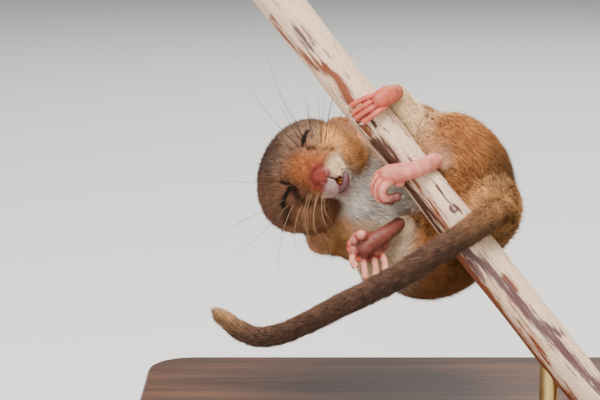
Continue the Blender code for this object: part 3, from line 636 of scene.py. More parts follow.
def skin_colours(settings, coat, points, weights, bare, crease):
    """Colour of the skin at each point: shaded fur roots under the coat, pink where it is bare."""
    shade = {key: np.array(getattr(settings, key)) for key in SKIN_COLOURS}
    under = fur_colours(coat, points, weights)
    # Painted shade: the fur roots under the coat are darkened.
    under = under * (settings.root_shade + 0.35 * ramp(0.1, 0.8, under.mean(1)))[:, None]
    # Painted highlight and shade: paler pink on ridges, deep red in folds.
    pink = blend(shade["pale_pink"], shade["pink"], ramp(-0.45, 0.1, crease))
    pink = blend(pink, shade["deep_red"], 0.85 * ramp(0.2, 1.0, crease))
    pink = blend(pink, shade["nose"], ramp(1.2, 0.3, off_face(NOSE, points)) * ramp(0.6, -0.3, crease))
    for name, side in SIDES:
        wing = ramp(0.4, -0.3, off_face(NOSTRIL_WING, points, side))
        # Painted highlight: the left nostril rim is made much paler than the right.
        pink = blend(pink, shade["wing"], (0.9 if side > 0 else 0.25) * wing)
        lip = ramp(0.6, 0.1, off_face(UPPER_LIP, points, side))
        lip = np.maximum(lip, ramp(0.3, -0.1, off_face(LIP_PADS[side], points, side)))
        pink = blend(pink, shade["upper_lip"], lip * ramp(0.5, 0.0, crease) * (1 - wing))
        pink = blend(pink, shade["lid"], ramp(0.7, 0.4, off_slit(name, points)))
        # Painted shade: deep red along the parting of the lips.
        pink = blend(pink, shade["deep_red"], 0.8 * ramp(0.3, 0.15, off_path(LIPS[name], points)))
    # Painted shade: near black red inside the mouth, in the parting of the upper lip and in the nostrils.
    pink = blend(pink, shade["mouth"], ramp(0.45, 0.15, off_face(MOUTH, points)))
    pink = blend(pink, shade["lower_lip"], ramp(1.2, 0.9, off_path(LOWER, points)) * ramp(0.8, 0.2, crease))
    pink = blend(pink, shade["mouth"], ramp(0.1, 0.03, off_face(MOUTH, points)))
    pink = blend(pink, shade["mouth"], 0.9 * in_cleft(points, 0.17))
    for path in NOSTRILS:
        pink = blend(pink, shade["nostril"], ramp(0.3, 0.12, off_path(path, points)))
    pits = np.min(np.linalg.norm(points[:, None] - FOLLICLES[None], axis=2), axis=1)
    pink = blend(pink, shade["deep_red"] * 0.4, 0.85 * ramp(0.26, 0.12, pits))
    return blend(under, pink, bare)


def waves(points, size, seed):
    """A smooth, seeded vector field whose features are about size across."""
    rng = np.random.default_rng(seed)
    field = np.zeros_like(points)
    for _ in range(7):
        way = unit(rng.normal(size=3)) * (2 * math.pi / (size * rng.uniform(0.7, 1.5)))
        field += np.sin(points @ way + rng.uniform(0.0, 2 * math.pi))[:, None] * unit(rng.normal(size=3))
    return field / math.sqrt(7)


def new_object(name, mesh):
    piece = bpy.data.objects.new(name, mesh)
    bpy.context.scene.collection.objects.link(piece)
    return piece


def bake(piece):
    """Turns the object's modifiers into its mesh."""
    graph = bpy.context.evaluated_depsgraph_get()
    mesh = bpy.data.meshes.new_from_object(piece.evaluated_get(graph))
    piece.modifiers.clear()
    piece.data = mesh
    return piece


def mesh_from(form, name):
    mesh = bpy.data.meshes.new(name)
    form.to_mesh(mesh)
    form.free()
    return mesh


def add_ball(form, centre, half, turn=None, grow=0.0, sides=32):
    size = Matrix.Diagonal([*(h + grow for h in half), 1.0])
    turn = turn.to_4x4() if turn else Matrix.Identity(4)
    place = Matrix.Translation(Vector(centre)) @ turn @ size
    bmesh.ops.create_uvsphere(form, u_segments=sides, v_segments=sides * 5 // 8, radius=1.0, matrix=place)


def add_rod(form, rod, grow=0.0, sides=18):
    """A tapering rod with round ends."""
    start, end = Vector(rod.start), Vector(rod.end)
    turn = (end - start).to_track_quat("Z", "Y").to_matrix()
    made = bmesh.ops.create_uvsphere(form, u_segments=sides, v_segments=sides * 5 // 8, radius=1.0)
    for vert in made["verts"]:
        far = vert.co.z > -1e-6
        radius = (rod.end_radius if far else rod.start_radius) + grow
        vert.co = (end if far else start) + turn @ (vert.co * radius)


def mesh_of(name, forms, grow=0.0):
    form = bmesh.new()
    for item in forms:
        if isinstance(item, Ball):
            add_ball(form, *item, grow)
        else:
            add_rod(form, item, grow)
    return mesh_from(form, name)


def fuse(name, meshes, voxel, rounds):
    """One closed, smoothed surface round all the meshes."""
    form = bmesh.new()
    for mesh in meshes:
        form.from_mesh(mesh)
    body = new_object(name, mesh_from(form, name))
    remesh = body.modifiers.new("Remesh", "REMESH")
    remesh.mode = "VOXEL"
    remesh.voxel_size = voxel
    smooth = body.modifiers.new("Smooth", "SMOOTH")
    smooth.factor = 0.5
    smooth.iterations = rounds
    return bake(body)


def boolean(body, cutter, operation):
    """Joins a closed object to the body or cuts it away, and removes it."""
    change = body.modifiers.new("Boolean", "BOOLEAN")
    change.operation = operation
    change.object = cutter
    change.solver = "MANIFOLD"
    bake(body)
    bpy.data.objects.remove(cutter)
    return body


def arrays_of(mesh):
    """Vertex places, vertex normals and triangles of a mesh."""
    places = np.empty(len(mesh.vertices) * 3, np.float32)
    normals = np.empty(len(mesh.vertices) * 3, np.float32)
    mesh.vertices.foreach_get("co", places)
    mesh.vertices.foreach_get("normal", normals)
    mesh.calc_loop_triangles()
    corners = np.empty(len(mesh.loop_triangles) * 3, np.int32)
    mesh.loop_triangles.foreach_get("vertices", corners)
    return places.reshape(-1, 3).astype(float), normals.reshape(-1, 3).astype(float), corners.reshape(-1, 3)


def move_to(mesh, places):
    mesh.vertices.foreach_set("co", places.astype(np.float32).ravel())
    mesh.update()


def edges_of(mesh):
    edges = np.empty(len(mesh.edges) * 2, np.int32)
    mesh.edges.foreach_get("vertices", edges)
    return edges.reshape(-1, 2)


def neighbour_mean(values, edges):
    """The mean of each vertex's neighbours."""
    total = np.zeros_like(values)
    count = np.zeros(len(values))
    for near, far in ((edges[:, 0], edges[:, 1]), (edges[:, 1], edges[:, 0])):
        np.add.at(total, near, values[far])
        np.add.at(count, near, 1.0)
    count = np.maximum(count, 1.0)
    return total / (count[:, None] if values.ndim > 1 else count)


def crease_of(mesh, rounds=3):
    """How hollow the surface is at each vertex: above 0 in folds, below 0 on ridges."""
    places, normals, _ = arrays_of(mesh)
    edges = edges_of(mesh)
    size = lengths_of(places[edges[:, 0]] - places[edges[:, 1]])
    spread = np.bincount(edges.ravel(), np.repeat(size, 2), len(places))
    spread /= np.maximum(np.bincount(edges.ravel(), minlength=len(places)), 1)
    hollow = ((neighbour_mean(places, edges) - places) * normals).sum(1) / np.maximum(spread, 1e-6) ** 2
    for _ in range(rounds):
        hollow = 0.5 * hollow + 0.5 * neighbour_mean(hollow, edges)
    return hollow


def off_twig(points):
    """Distance of each point from the twig's axis, and the way from the axis to it."""
    along = row((TWIG_FOOT - TWIG_TOP).normalized())
    local = points - row(TWIG_TOP)
    local = local - (local @ along)[:, None] * along
    far = lengths_of(local)
    return far, local / np.maximum(far, 1e-6)[:, None]


def clear_of_twig(points, clearance):
    """The points, with those inside the twig moved out to its surface."""
    far, out = off_twig(points)
    short = np.clip(TWIG_RADIUS + clearance - far, 0.0, None)
    return points + out * short[:, None]


def set_attribute(mesh, name, kind, values):
    attribute = mesh.attributes.new(name, kind, "POINT")
    if kind == "FLOAT_COLOR":
        values = np.hstack([values, np.ones((len(values), 1))])
        attribute.data.foreach_set("color", values.astype(np.float32).ravel())
    else:
        attribute.data.foreach_set("value", values.astype(np.float32))


def finish_piece(piece, material, slot, *nodes):
    """Puts a piece made in the pose frame in its place, with its material, and says what it stands for."""
    piece.data.transform(POSE)
    piece.data.materials.clear()
    for each in (material if isinstance(material, (list, tuple)) else [material]):
        piece.data.materials.append(each)
    piece.data.shade_smooth()
    return declare(piece, slot, *nodes)


def declare(piece, slot, *nodes):
    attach(piece, "root")
    if nodes:
        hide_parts(*nodes)
    return piece


def body_form():
    """The body inside the coat, without hands, feet and the bare parts of the face."""
    trunk_parts = [form for name, forms in FORMS.items() if name not in ("head", "tail") for form in forms]
    trunk_parts += FORMS["tail"][: 2 * TAIL_STEPS]
    trunk = fuse("trunk", [mesh_of("trunk", trunk_parts)], TRUNK_VOXEL, TRUNK_SMOOTHING)
    head = fuse("head", [mesh_of("head", FORMS["head"])], HEAD_VOXEL, HEAD_SMOOTHING)
    meshes = [trunk.data, head.data, mesh_of("tail", FORMS["tail"])]
    body = fuse("skin", meshes, SKIN_VOXEL, SKIN_SMOOTHING)
    bpy.data.objects.remove(trunk)
    bpy.data.objects.remove(head)
    places, normals, _ = arrays_of(body.data)
    depth = of_coat(region_weights(places), "depth") * coat_scale(places)
    move_to(body.data, clear_of_twig(places - normals * depth[:, None], 0.1))
    return body


def face_form():
    """The fine end of the muzzle: nose with its nostrils, lips with their parting, and the mouth."""
    forms = [face_ball(*NOSE), Rod(on_face((9.5, 0.0, -2.4)), on_face((12.4, 0.0, -2.8)), 2.5, 1.95)]
    forms.append(face_ball(CHIN[0], [h - 0.2 for h in CHIN[1]]))
    for _, side in SIDES:
        forms += [face_ball(*item, side) for item in (NOSTRIL_WING, UPPER_LIP, LIP_PADS[side])]
        forms.append(head_ball(WHISKER_PAD[0], [h - 0.25 for h in WHISKER_PAD[1]], side))
    soft = fuse("muzzle", [mesh_of("muzzle", forms, FACE_GROWTH)], FACE_VOXEL, FACE_SMOOTHING)
    lip = mesh_of("lip", chain(LOWER, [LOWER_LIP_RADIUS] * len(LOWER), 4))
    face = fuse("face", [soft.data, lip], FINE_VOXEL, FINE_SMOOTHING)
    bpy.data.objects.remove(soft)
    places, normals, _ = arrays_of(face.data)
    depth = np.zeros(len(places))
    for path in LIPS.values():
        depth += 0.3 * np.exp(-((off_path(path, places) / 0.24) ** 2))
    for path in NOSTRILS:
        depth += 0.5 * np.exp(-((off_path(path, places) / 0.15) ** 2))
    depth += 0.4 * in_cleft(places, 0.2)
    depth += 0.14 * np.exp(-((off_path(face_line(PHILTRUM), places) / 0.26) ** 2))
    for pit in FOLLICLES:
        depth += 0.08 * np.exp(-((lengths_of(places - pit) / 0.17) ** 2))
    depth += 0.025 * waves(places, 0.7, 21)[:, 0]
    move_to(face.data, places - normals * depth[:, None])
    mouth = new_object("mouth", mesh_of("mouth", [face_ball(*MOUTH)]))
    return boolean(face, mouth, "DIFFERENCE")


def lid_form(side_name, side):
    """The dome of a shut eye, with the groove between its lids."""
    form = bmesh.new()
    add_ball(form, on_head(EYE_PLACE, side), (LID_RADIUS,) * 3, HEAD, 0.0, 80)
    mesh = mesh_from(form, "lid")
    lid = new_object("lid_" + side_name, mesh)
    places, normals, _ = arrays_of(mesh)
    far = off_slit(side_name, places)
    rim = 0.12 * np.exp(-(((far - 0.32) / 0.18) ** 2))
    fold = 0.09 * np.exp(-(((far - 1.4) / 0.25) ** 2))
    groove = 0.42 * np.exp(-((far / 0.12) ** 2))
    move_to(mesh, places + normals * (rim - fold - groove)[:, None])
    return lid


def ear_form(side_name, side, rows=22, columns=16):
    """A thin round ear, cupped along its length, laid back along the side of the head."""
    root, tip = Vector(EAR_ROOT[side_name]), Vector(EAR_TIP[side_name])
    down = (tip - root).normalized()
    out = Vector(EAR_OUT[side_name])
    out = (out - down * out.dot(down)).normalized()
    across = down.cross(out)
    form = bmesh.new()
    grid = []
    for i in range(rows + 1):
        t = i / rows
        breadth = EAR_WIDTHS[side_name] / 2 * max(0.12, math.sin(math.pi * (0.16 + 0.84 * t))) ** 0.6
        line = []
        for j in range(columns + 1):
            s = 2 * j / columns - 1
            cup = EAR_CUP * s * s * (1 - 0.5 * t) + EAR_BOW * math.sin(math.pi * t)
            place = root + down * ((tip - root).length * t) + across * (s * breadth) + out * cup
            line.append(form.verts.new(on_head(place, side)))
        grid.append(line)
    for low, high in zip(grid, grid[1:]):
        for j in range(columns):
            form.faces.new((low[j], high[j], high[j + 1], low[j + 1]))
    mesh = mesh_from(form, "ear_" + side_name)
    ear = new_object("ear_" + side_name, mesh)
    wall = ear.modifiers.new("Solidify", "SOLIDIFY")
    wall.thickness = EAR_THICKNESS
    wall.offset = 0.0
    round_edge = ear.modifiers.new("Remesh", "REMESH")
    round_edge.mode = "VOXEL"
    round_edge.voxel_size = FINE_VOXEL
    smooth = ear.modifiers.new("Smooth", "SMOOTH")
    smooth.iterations = 3
    return bake(ear)


def paw_form(name):
    """A bare hand or foot, with fine lines along it and wrinkles across its digits."""
    paw = fuse(name, [mesh_of(name, PAW_FORMS[name])], PAW_VOXEL, FINE_SMOOTHING)
    places, normals, _ = arrays_of(paw.data)
    sole = np.array(PAWS[name][0])
    way = unit(sole[-1] - sole[0])
    along = (places @ way)[:, None] * way
    field = waves(places - 0.8 * along, 0.75, len(name) + len(PAW_FORMS[name]))
    depth = (0.03 if name == "foot_right" else 0.016) * (1 - np.clip(np.abs(field[:, 0]) * 2.2, 0, 1)) ** 2
    depth += 0.01 * (1 - np.clip(np.abs(waves(places, 0.6, 31)[:, 1]) * 2.4, 0, 1)) ** 2
    for digit in PAWS[name][2]:
        path = smooth_path(digit, 6)
        share = along_path(path, places)[0]
        near = ramp(1.2, 0.7, off_path(path, places)) * ramp(0.1, 0.3, share)
        depth += 0.02 * near * (0.5 + 0.5 * np.cos(share * 2 * math.pi * 8 + 2 * field[:, 1])) ** 2
    move_to(paw.data, clear_of_twig(places - normals * depth[:, None], 0.06))
    return paw


LIMB_PARTS = ("thigh", "upper_arm", "forearm", "shank", "hand", "foot", "ear")


def surface_of(piece):
    places, _, corners = arrays_of(piece.data)
    return BVHTree.FromPolygons(places.tolist(), corners.tolist())


def on_surface(tree, points, centre, reach):
    """1 for the points within reach of the centre that lie on the surface, 0 for the others."""
    found = np.zeros(len(points))
    for i in np.flatnonzero(lengths_of(points - row(centre)) < reach):
        if tree.find_nearest(Vector(points[i]), 0.02)[0] is not None:
            found[i] = 1.0
    return found


def make_skin():
    """One skin from the nose to the tail's tip and the claws' roots."""
    skin = body_form()
    boolean(skin, face_form(), "UNION")
    surfaces = []
    for name, side in SIDES:
        boolean(skin, lid_form(name, side), "UNION")
        ear = ear_form(name, side)
        surfaces.append(("ear", None, surface_of(ear), on_head(EAR_TIP[name], side), 9.0))
        boolean(skin, ear, "UNION")
    for name in PAWS:
        paw = paw_form(name)
        part, side = name.split("_")
        joint = (ANKLE if part == "foot" else WRIST)[side]
        surfaces.append((part, joint, surface_of(paw), PAWS[name][0][-1], 15.0))
        boolean(skin, paw, "UNION")
    scene = bpy.context.scene
    places, _, _ = arrays_of(skin.data)
    weights = region_weights(places)
    bare = face_bareness(places)
    ear, hands = np.zeros(len(places)), np.zeros(len(places))
    for part, joint, surface, centre, reach in surfaces:
        found = on_surface(surface, places, centre, reach)
        if part == "hand":
            hands = np.maximum(hands, found)
        if part == "ear":
            ear = np.maximum(ear, found)
        else:
            low, high = (0.5, 1.3) if part == "foot" else (1.2, 2.4)
            away = ramp(low, high, lengths_of(places - row(joint)))
            bare = np.maximum(bare, found * away)
        if joint is ANKLE["right"]:
            shaded = found * ramp(3.6, 1.8, off_path(np.array(RIGHT_SOLE), places))
        if joint is ANKLE["left"]:
            tips = np.min([lengths_of(places - toe[-1]) for toe in LEFT_TOES], axis=0)
            shaded_tips = found * ramp(2.6, 1.0, tips)
    crease = crease_of(skin.data)
    colours = skin_colours(scene.dormouse_skin, scene.dormouse_coat, places, weights, bare, crease)
    colours = blend(colours, np.array(scene.dormouse_skin.ear), ear)
    colours = blend(colours, colours * np.array((0.8, 0.48, 0.38)), hands)
    # Painted shade: the hands darker red in their creases.
    colours = blend(colours, colours * np.array((0.6, 0.32, 0.3)), hands * ramp(0.05, 0.5, crease))
    colours = blend(colours, colours * np.array((0.26, 0.2, 0.19)), shaded)
    colours = blend(colours, colours * np.array((0.25, 0.21, 0.25)), shaded_tips)
    set_attribute(skin.data, "skin_colour", "FLOAT_COLOR", colours)
    lids = np.min([off_slit(name, places) for name in SLITS], axis=0)
    set_attribute(skin.data, "bare", "FLOAT", bare)
    set_attribute(skin.data, "gloss", "FLOAT", bare * ramp(0.8, 1.2, lids))
    set_attribute(skin.data, "ear", "FLOAT", ear)
    nodes = ["head", "neck", "chest", "belly_and_rump", "tail_root", "tail_middle", "tail_end", "tail_tip"]
    for name, _ in SIDES:
        nodes += [f"{part}_{name}" for part in LIMB_PARTS]
    return finish_piece(skin, skin_material(), "bare_skin", *nodes)


def value_of(mesh, name):
    values = np.empty(len(mesh.vertices), np.float32)
    mesh.attributes[name].data.foreach_get("value", values)
    return values.astype(float)


def spread(places, corners, density, rng):
    """Seeded points on the triangles, density of them on a square millimetre, with their weights there."""
    a, b, c = (places[corners[:, k]] for k in range(3))
    area = 0.5 * lengths_of(np.cross(b - a, c - a))
    expected = area * density[corners].mean(1)
    count = int(expected.sum())
    level = np.cumsum(expected) / expected.sum()
    chosen = np.searchsorted(level, (np.arange(count) + rng.random(count)) / count)
    chosen = np.minimum(chosen, len(corners) - 1)
    u, v = rng.random(count), rng.random(count)
    over = u + v > 1
    u[over], v[over] = 1 - u[over], 1 - v[over]
    return chosen, np.stack([1 - u - v, u, v], 1)


def lie_of_coat(points, weights):
    """The way the coat lies at each point: away from the nose, along the spine and out along the limbs."""
    way = weights["head"][:, None] * unit(points - NOSE_POINT)
    for name in FORMS:
        if name != "head":
            way += weights[name][:, None] * along_path(PATHS[name], points)[1]
    return way


def locks_of(roots, rng, every=12):
    """The tuft that leads the lock each tuft belongs to."""
    leaders = rng.choice(len(roots), max(1, len(roots) // every), replace=False)
    tree = KDTree(len(leaders))
    for i, leader in enumerate(leaders):
        tree.insert(roots[leader], i)
    tree.balance()
    return np.array([leaders[tree.find(root)[1]] for root in roots])


TUFT_FACES = np.array([(1, 2, 0), (2, 3, 0), (3, 1, 0), (2, 1, 4), (3, 2, 4), (1, 3, 4)])
TUFT_ROUND = np.array([(-0.5, 0.0), (0.5, 0.0), (0.0, 0.45)])
TUFT_PATCH = np.array([(0.0, -0.5), (-0.5, 0.0), (0.5, 0.0), (0.0, 0.0), (0.0, 0.5)])
TUFT_POINTS = len(TUFT_PATCH)


def tuft_points(roots, normals, way, rise, length, width, locks, rng):
    """Five points of each tuft: one at the root, three round its belly and one at the tip."""
    tangent = unit(way - normals * (way * normals).sum(1)[:, None])
    steep = np.arcsin(np.clip(rise / length, 0.05, 0.95))[:, None]
    first = unit(tangent * np.cos(steep * 1.5) + normals * np.sin(steep * 1.5))
    second = unit(tangent * np.cos(steep * 0.55) + normals * np.sin(steep * 0.55))
    bend = roots + first * (length * 0.4)[:, None]
    tips = bend + second * (length * 0.62)[:, None]
    drawn = tips[locks] + (roots - roots[locks]) * 0.35
    tips = blend(tips, drawn, 0.55 * rng.random(len(roots)))
    side = unit(np.cross(first, normals))
    points = np.empty((len(roots), TUFT_POINTS, 3))
    points[:, 0] = roots - normals * 0.12
    for k, (across, high) in enumerate(TUFT_ROUND):
        points[:, k + 1] = bend + (side * across + np.cross(side, first) * high) * width[:, None]
    points[:, 4] = tips
    return points


def tuft_mesh(name, points, colours, places):
    """A mesh of closed tufts with their colours and a small patch of the unwrap for each."""
    count = len(points)
    mesh = bpy.data.meshes.new(name)
    faces = (TUFT_FACES[None] + TUFT_POINTS * np.arange(count)[:, None, None]).reshape(-1, 3)
    mesh.vertices.add(count * TUFT_POINTS)
    mesh.vertices.foreach_set("co", points.astype(np.float32).ravel())
    mesh.loops.add(len(faces) * 3)
    mesh.loops.foreach_set("vertex_index", faces.astype(np.int32).ravel())
    mesh.polygons.add(len(faces))
    mesh.polygons.foreach_set("loop_start", np.arange(0, len(faces) * 3, 3, dtype=np.int32))
    mesh.update(calc_edges=True)
    set_attribute(mesh, "coat_colour", "FLOAT_COLOR", colours.reshape(-1, 3))
    patch = mesh.uv_layers.new(name="OFBake")
    spots = places[:, None] + TUFT_PATCH[None] * PATCH
    patch.uv.foreach_set("vector", spots.reshape(-1, 2)[faces.ravel()].astype(np.float32).ravel())
    return mesh


def unwrap(path, points):
    """Where each point lies on the skin rolled out round the path, from 0 to 1 both ways."""
    share, way, spot = along_path(path, points)
    first = unit(np.array((0.3, 0.5, 0.8)) - way * (way @ np.array((0.3, 0.5, 0.8)))[:, None])
    second = np.cross(way, first)
    local = points - spot
    angle = np.arctan2((local * second).sum(1), (local * first).sum(1))
    return np.stack([0.5 + angle / (2 * math.pi), share], 1)


def make_coat(skin):
    """The coat, region by region, rooted in the skin."""
    settings = bpy.context.scene.dormouse_coat
    rng = np.random.default_rng(settings.seed)
    back = np.array(POSE.inverted())
    places, normals, corners = arrays_of(skin.data)
    places = places @ back[:3, :3].T + back[:3, 3]
    normals = unit(normals @ back[:3, :3].T)
    weights = region_weights(places)
    scale = coat_scale(places)
    bare, ear = value_of(skin.data, "bare"), value_of(skin.data, "ear")
    density = of_coat(weights, "density") / np.sqrt(np.clip(scale, 0.35, 1.0)) * settings.density
    density *= ramp(0.75, 0.3, bare) * (off_twig(places)[0] > TWIG_RADIUS + 0.35)
    density = np.where(ear > 0.5, settings.ear_density, density)
    chosen, shares = spread(places, corners, density, rng)
    at = corners[chosen]

    def here(values):
        return (values[at] * (shares if values.ndim == 1 else shares[..., None])).sum(1)

    roots, out = here(places), unit(here(normals))
    weights = {name: here(values) for name, values in weights.items()}
    scale, ear = here(scale), here(ear)
    count = len(roots)
    way = lie_of_coat(roots, weights)
    way += 0.32 * waves(roots, 5.0, 3) + 0.22 * waves(roots, 1.6, 4) + 0.1 * rng.normal(size=(count, 3))
    length = of_coat(weights, "length") * scale * rng.uniform(0.75, 1.2, count) * settings.length
    length = np.where(ear > 0.5, 0.7, length)
    rise = of_coat(weights, "depth") * scale * rng.uniform(0.75, 1.25, count)
    rise = np.where(ear > 0.5, 0.12, rise)
    width = of_coat(weights, "width") * (0.6 + 0.4 * scale) * rng.uniform(0.75, 1.25, count) * settings.width
    stray = rng.random(count) < settings.stray
    length[stray] *= 1.25
    rise[stray] *= 1.8
    width[stray] *= 0.65
    locks = locks_of(roots, rng)
    points = tuft_points(roots, out, way, rise, length, width, locks, rng)
    points = clear_of_twig(points.reshape(-1, 3), 0.08).reshape(-1, TUFT_POINTS, 3)
    base = fur_colours(settings, roots, weights)
    base = blend(base, np.array(settings.ear_hair), ear)
    bright = ramp(0.1, 0.8, base.mean(1))
    tone = 1.0 + (0.22 - 0.12 * bright) * rng.uniform(-1.0, 1.0, count)[locks]
    tone += 0.13 * rng.uniform(-1.0, 1.0, count)
    base *= tone[:, None]
    ticked = (rng.random(count) < of_coat(weights, "ticking"))[:, None]
    tip = np.where(ticked, blend(base, np.array(settings.dark), np.full(count, 0.8)), base * 1.12)
    colours = np.empty((count, TUFT_POINTS, 3))
    # Each tuft darker at its root: partly the hair's own darker base and partly painted shade deep in the
    # coat.
    colours[:, 0] = base * (0.65 + 0.25 * bright)[:, None]
    colours[:, 1:4] = (base * np.where(ticked, 0.9, 1.0))[:, None]
    colours[:, 4] = tip
    region = np.argmax([weights[name] for name in FORMS], axis=0)
    for index, name in enumerate(FORMS):
        mine = np.flatnonzero(region == index)
        spots = unwrap(PATHS[name], roots[mine])
        mine, spots = mine[np.argsort(spots[:, 1])], spots[np.argsort(spots[:, 1])]
        lots = math.ceil(len(mine) / TUFTS_A_PIECE)
        for lot, (part, place) in enumerate(zip(np.array_split(mine, lots), np.array_split(spots, lots))):
            low, high = place.min(0), place.max(0)
            place = 0.005 + 0.99 * (place - low) / np.maximum(high - low, 1e-6)
            title = f"coat_{name}" + (f"_{lot + 1}" if lots > 1 else "")
            piece = new_object(title, tuft_mesh(title, points[part], colours[part], place))
            finish_piece(piece, coat_material(), "fur")


def give_sockets(tree, inputs, outputs):
    """Adds the tree's inputs, each a name, a kind and perhaps its usual value, and its outputs."""
    for way, sockets in (("INPUT", inputs), ("OUTPUT", outputs)):
        for name, kind, *usual in sockets:
            socket = tree.interface.new_socket(name, in_out=way, socket_type="NodeSocket" + kind)
            if usual:
                socket.default_value = usual[0]


GEOMETRY, MATERIAL = ("Geometry", "Geometry"), ("Material", "Material")


def strand_tree():
    """Geometry nodes that turn lines of edges into closed tapering tubes."""
    tree = bpy.data.node_groups.get("tapered_strands")
    if tree:
        return tree
    tree = bpy.data.node_groups.new("tapered_strands", "GeometryNodeTree")
    give_sockets(tree, (GEOMETRY, ("Sides", "Int", 6), ("Thickness", "Float", 1.0), MATERIAL), (GEOMETRY,))
    given = tree.nodes.new("NodeGroupInput")
    result = tree.nodes.new("NodeGroupOutput")
    curve = tree.nodes.new("GeometryNodeMeshToCurve")
    radius = tree.nodes.new("GeometryNodeInputNamedAttribute")
    radius.inputs["Name"].default_value = "strand_radius"
    circle = tree.nodes.new("GeometryNodeCurvePrimitiveCircle")
    tube = tree.nodes.new("GeometryNodeCurveToMesh")
    tube.inputs["Fill Caps"].default_value = True
    real = tree.nodes.new("GeometryNodeRealizeInstances")
    paint = tree.nodes.new("GeometryNodeSetMaterial")
    join = tree.links.new
    join(given.outputs["Geometry"], curve.inputs["Mesh"])
    join(given.outputs["Sides"], circle.inputs["Resolution"])
    join(given.outputs["Thickness"], circle.inputs["Radius"])
    join(curve.outputs["Curve"], tube.inputs["Curve"])
    join(circle.outputs["Curve"], tube.inputs["Profile Curve"])
    join(radius.outputs["Attribute"], tube.inputs["Scale"])
    join(tube.outputs["Mesh"], real.inputs["Geometry"])
    join(real.outputs["Geometry"], paint.inputs["Geometry"])
    join(given.outputs["Material"], paint.inputs["Material"])
    join(paint.outputs["Geometry"], result.inputs["Geometry"])
    return tree


def through_nodes(piece, tree, values):
    """Runs the tree on the piece with these named inputs, and keeps the plain mesh that comes out."""
    modifier = piece.modifiers.new("Shape", "NODES")
    modifier.node_group = tree
    for item in tree.interface.items_tree:
        if item.item_type == "SOCKET" and item.in_out == "INPUT" and item.name in values:
            modifier[item.identifier] = values[item.name]
    return bake(piece)


def line_mesh(name, paths):
    """A mesh of loose lines, each a list of points with radius and tone."""
    mesh = bpy.data.meshes.new(name)
    rows = np.vstack(paths)
    starts = np.cumsum([0] + [len(p) for p in paths])
    edges = [(i, i + 1) for a, b in zip(starts, starts[1:]) for i in range(a, b - 1)]
    mesh.from_pydata(rows[:, :3].tolist(), edges, [])
    set_attribute(mesh, "strand_radius", "FLOAT", rows[:, 3])
    set_attribute(mesh, "along", "FLOAT", np.concatenate([np.linspace(0, 1, len(p)) for p in paths]))
    set_attribute(mesh, "tone", "FLOAT", rows[:, 4])
    return mesh


def strands(name, paths, sides, material):
    piece = new_object(name, line_mesh(name, paths))
    return through_nodes(piece, strand_tree(), {"Sides": sides, "Thickness": 1.0, "Material": material})


# Whiskers: root, middle and tip in the plane of the pose frame, how far back the tip lies, and tone
WHISKERS = (
    ((0.3, 8.8), (-6.0, 15.6), (-13.0, 26.4), 3.0, 0.0),
    ((1.7, 8.9), (-4.2, 20.4), (-7.4, 33.6), 4.0, 0.0),
    ((1.1, 9.1), (-1.9, 13.5), (-5.2, 20.5), 3.0, 0.0),
    ((1.4, 8.8), (-1.2, 14.5), (-3.6, 19.0), 2.0, 0.0),
    ((3.0, 8.8), (1.2, 15.6), (0.6, 21.5), 4.0, 0.0),
    ((2.4, 8.8), (1.5, 15.0), (1.8, 22.0), 5.0, 0.0),
    ((3.8, 8.8), (3.3, 15.1), (3.2, 18.8), 5.0, 0.0),
    ((3.6, 8.7), (3.9, 14.5), (4.6, 21.0), 6.0, 0.0),
    ((4.9, 8.8), (5.2, 12.6), (5.8, 16.0), 5.0, 0.3),
    ((4.5, 8.8), (6.2, 20.0), (11.7, 31.0), 12.0, 0.1),
    ((4.2, 8.8), (6.2, 19.0), (10.6, 28.6), 11.0, 0.1),
    ((5.2, 8.6), (8.5, 17.5), (14.1, 24.6), 12.0, 0.2),
    ((5.5, 8.2), (7.4, 10.8), (10.3, 12.8), -2.0, 0.7),
    ((-0.6, 2.4), (-9.0, 3.0), (-23.6, 4.0), 2.0, 0.15),
    ((-1.0, 0.9), (-10.4, -3.9), (-18.3, -7.4), 3.0, 0.15),
    ((-0.6, 0.6), (-8.7, -7.7), (-16.1, -13.4), 4.0, 0.1),
    ((-0.2, 0.5), (-3.4, -8.0), (-3.1, -20.2), 3.0, 0.5),
    ((0.1, 0.4), (-4.0, -3.5), (-3.8, -9.2), 3.0, 0.3),
    ((0.9, 0.3), (-0.9, -6.8), (2.2, -12.2), 3.0, 0.5),
    ((1.6, 0.4), (2.0, -9.0), (6.0, -15.0), 3.0, 0.4),
    ((1.9, 1.9), (0.8, -1.7), (1.4, -6.5), 0.0, 1.0),
    ((2.3, 1.9), (1.2, -2.7), (1.2, -5.4), 0.5, 1.0),
    ((2.6, 1.9), (1.7, -3.6), (2.4, -8.0), 0.0, 1.0),
    ((3.1, 1.7), (2.7, -3.0), (3.6, -7.2), 0.5, 1.0),
    ((3.3, 1.6), (2.9, -3.6), (3.2, -6.0), -0.5, 1.0),
    ((3.5, 1.6), (3.2, -4.0), (4.8, -7.0), 0.0, 1.0),
    ((3.9, 1.5), (4.1, -4.0), (7.1, -7.8), 0.5, 1.0),
    ((4.2, 1.4), (4.7, -3.0), (6.6, -5.6), -0.5, 1.0),
    ((4.4, 1.3), (5.2, -2.8), (8.2, -5.0), 0.0, 1.0),
)
WHISKER_BOW = 1.6


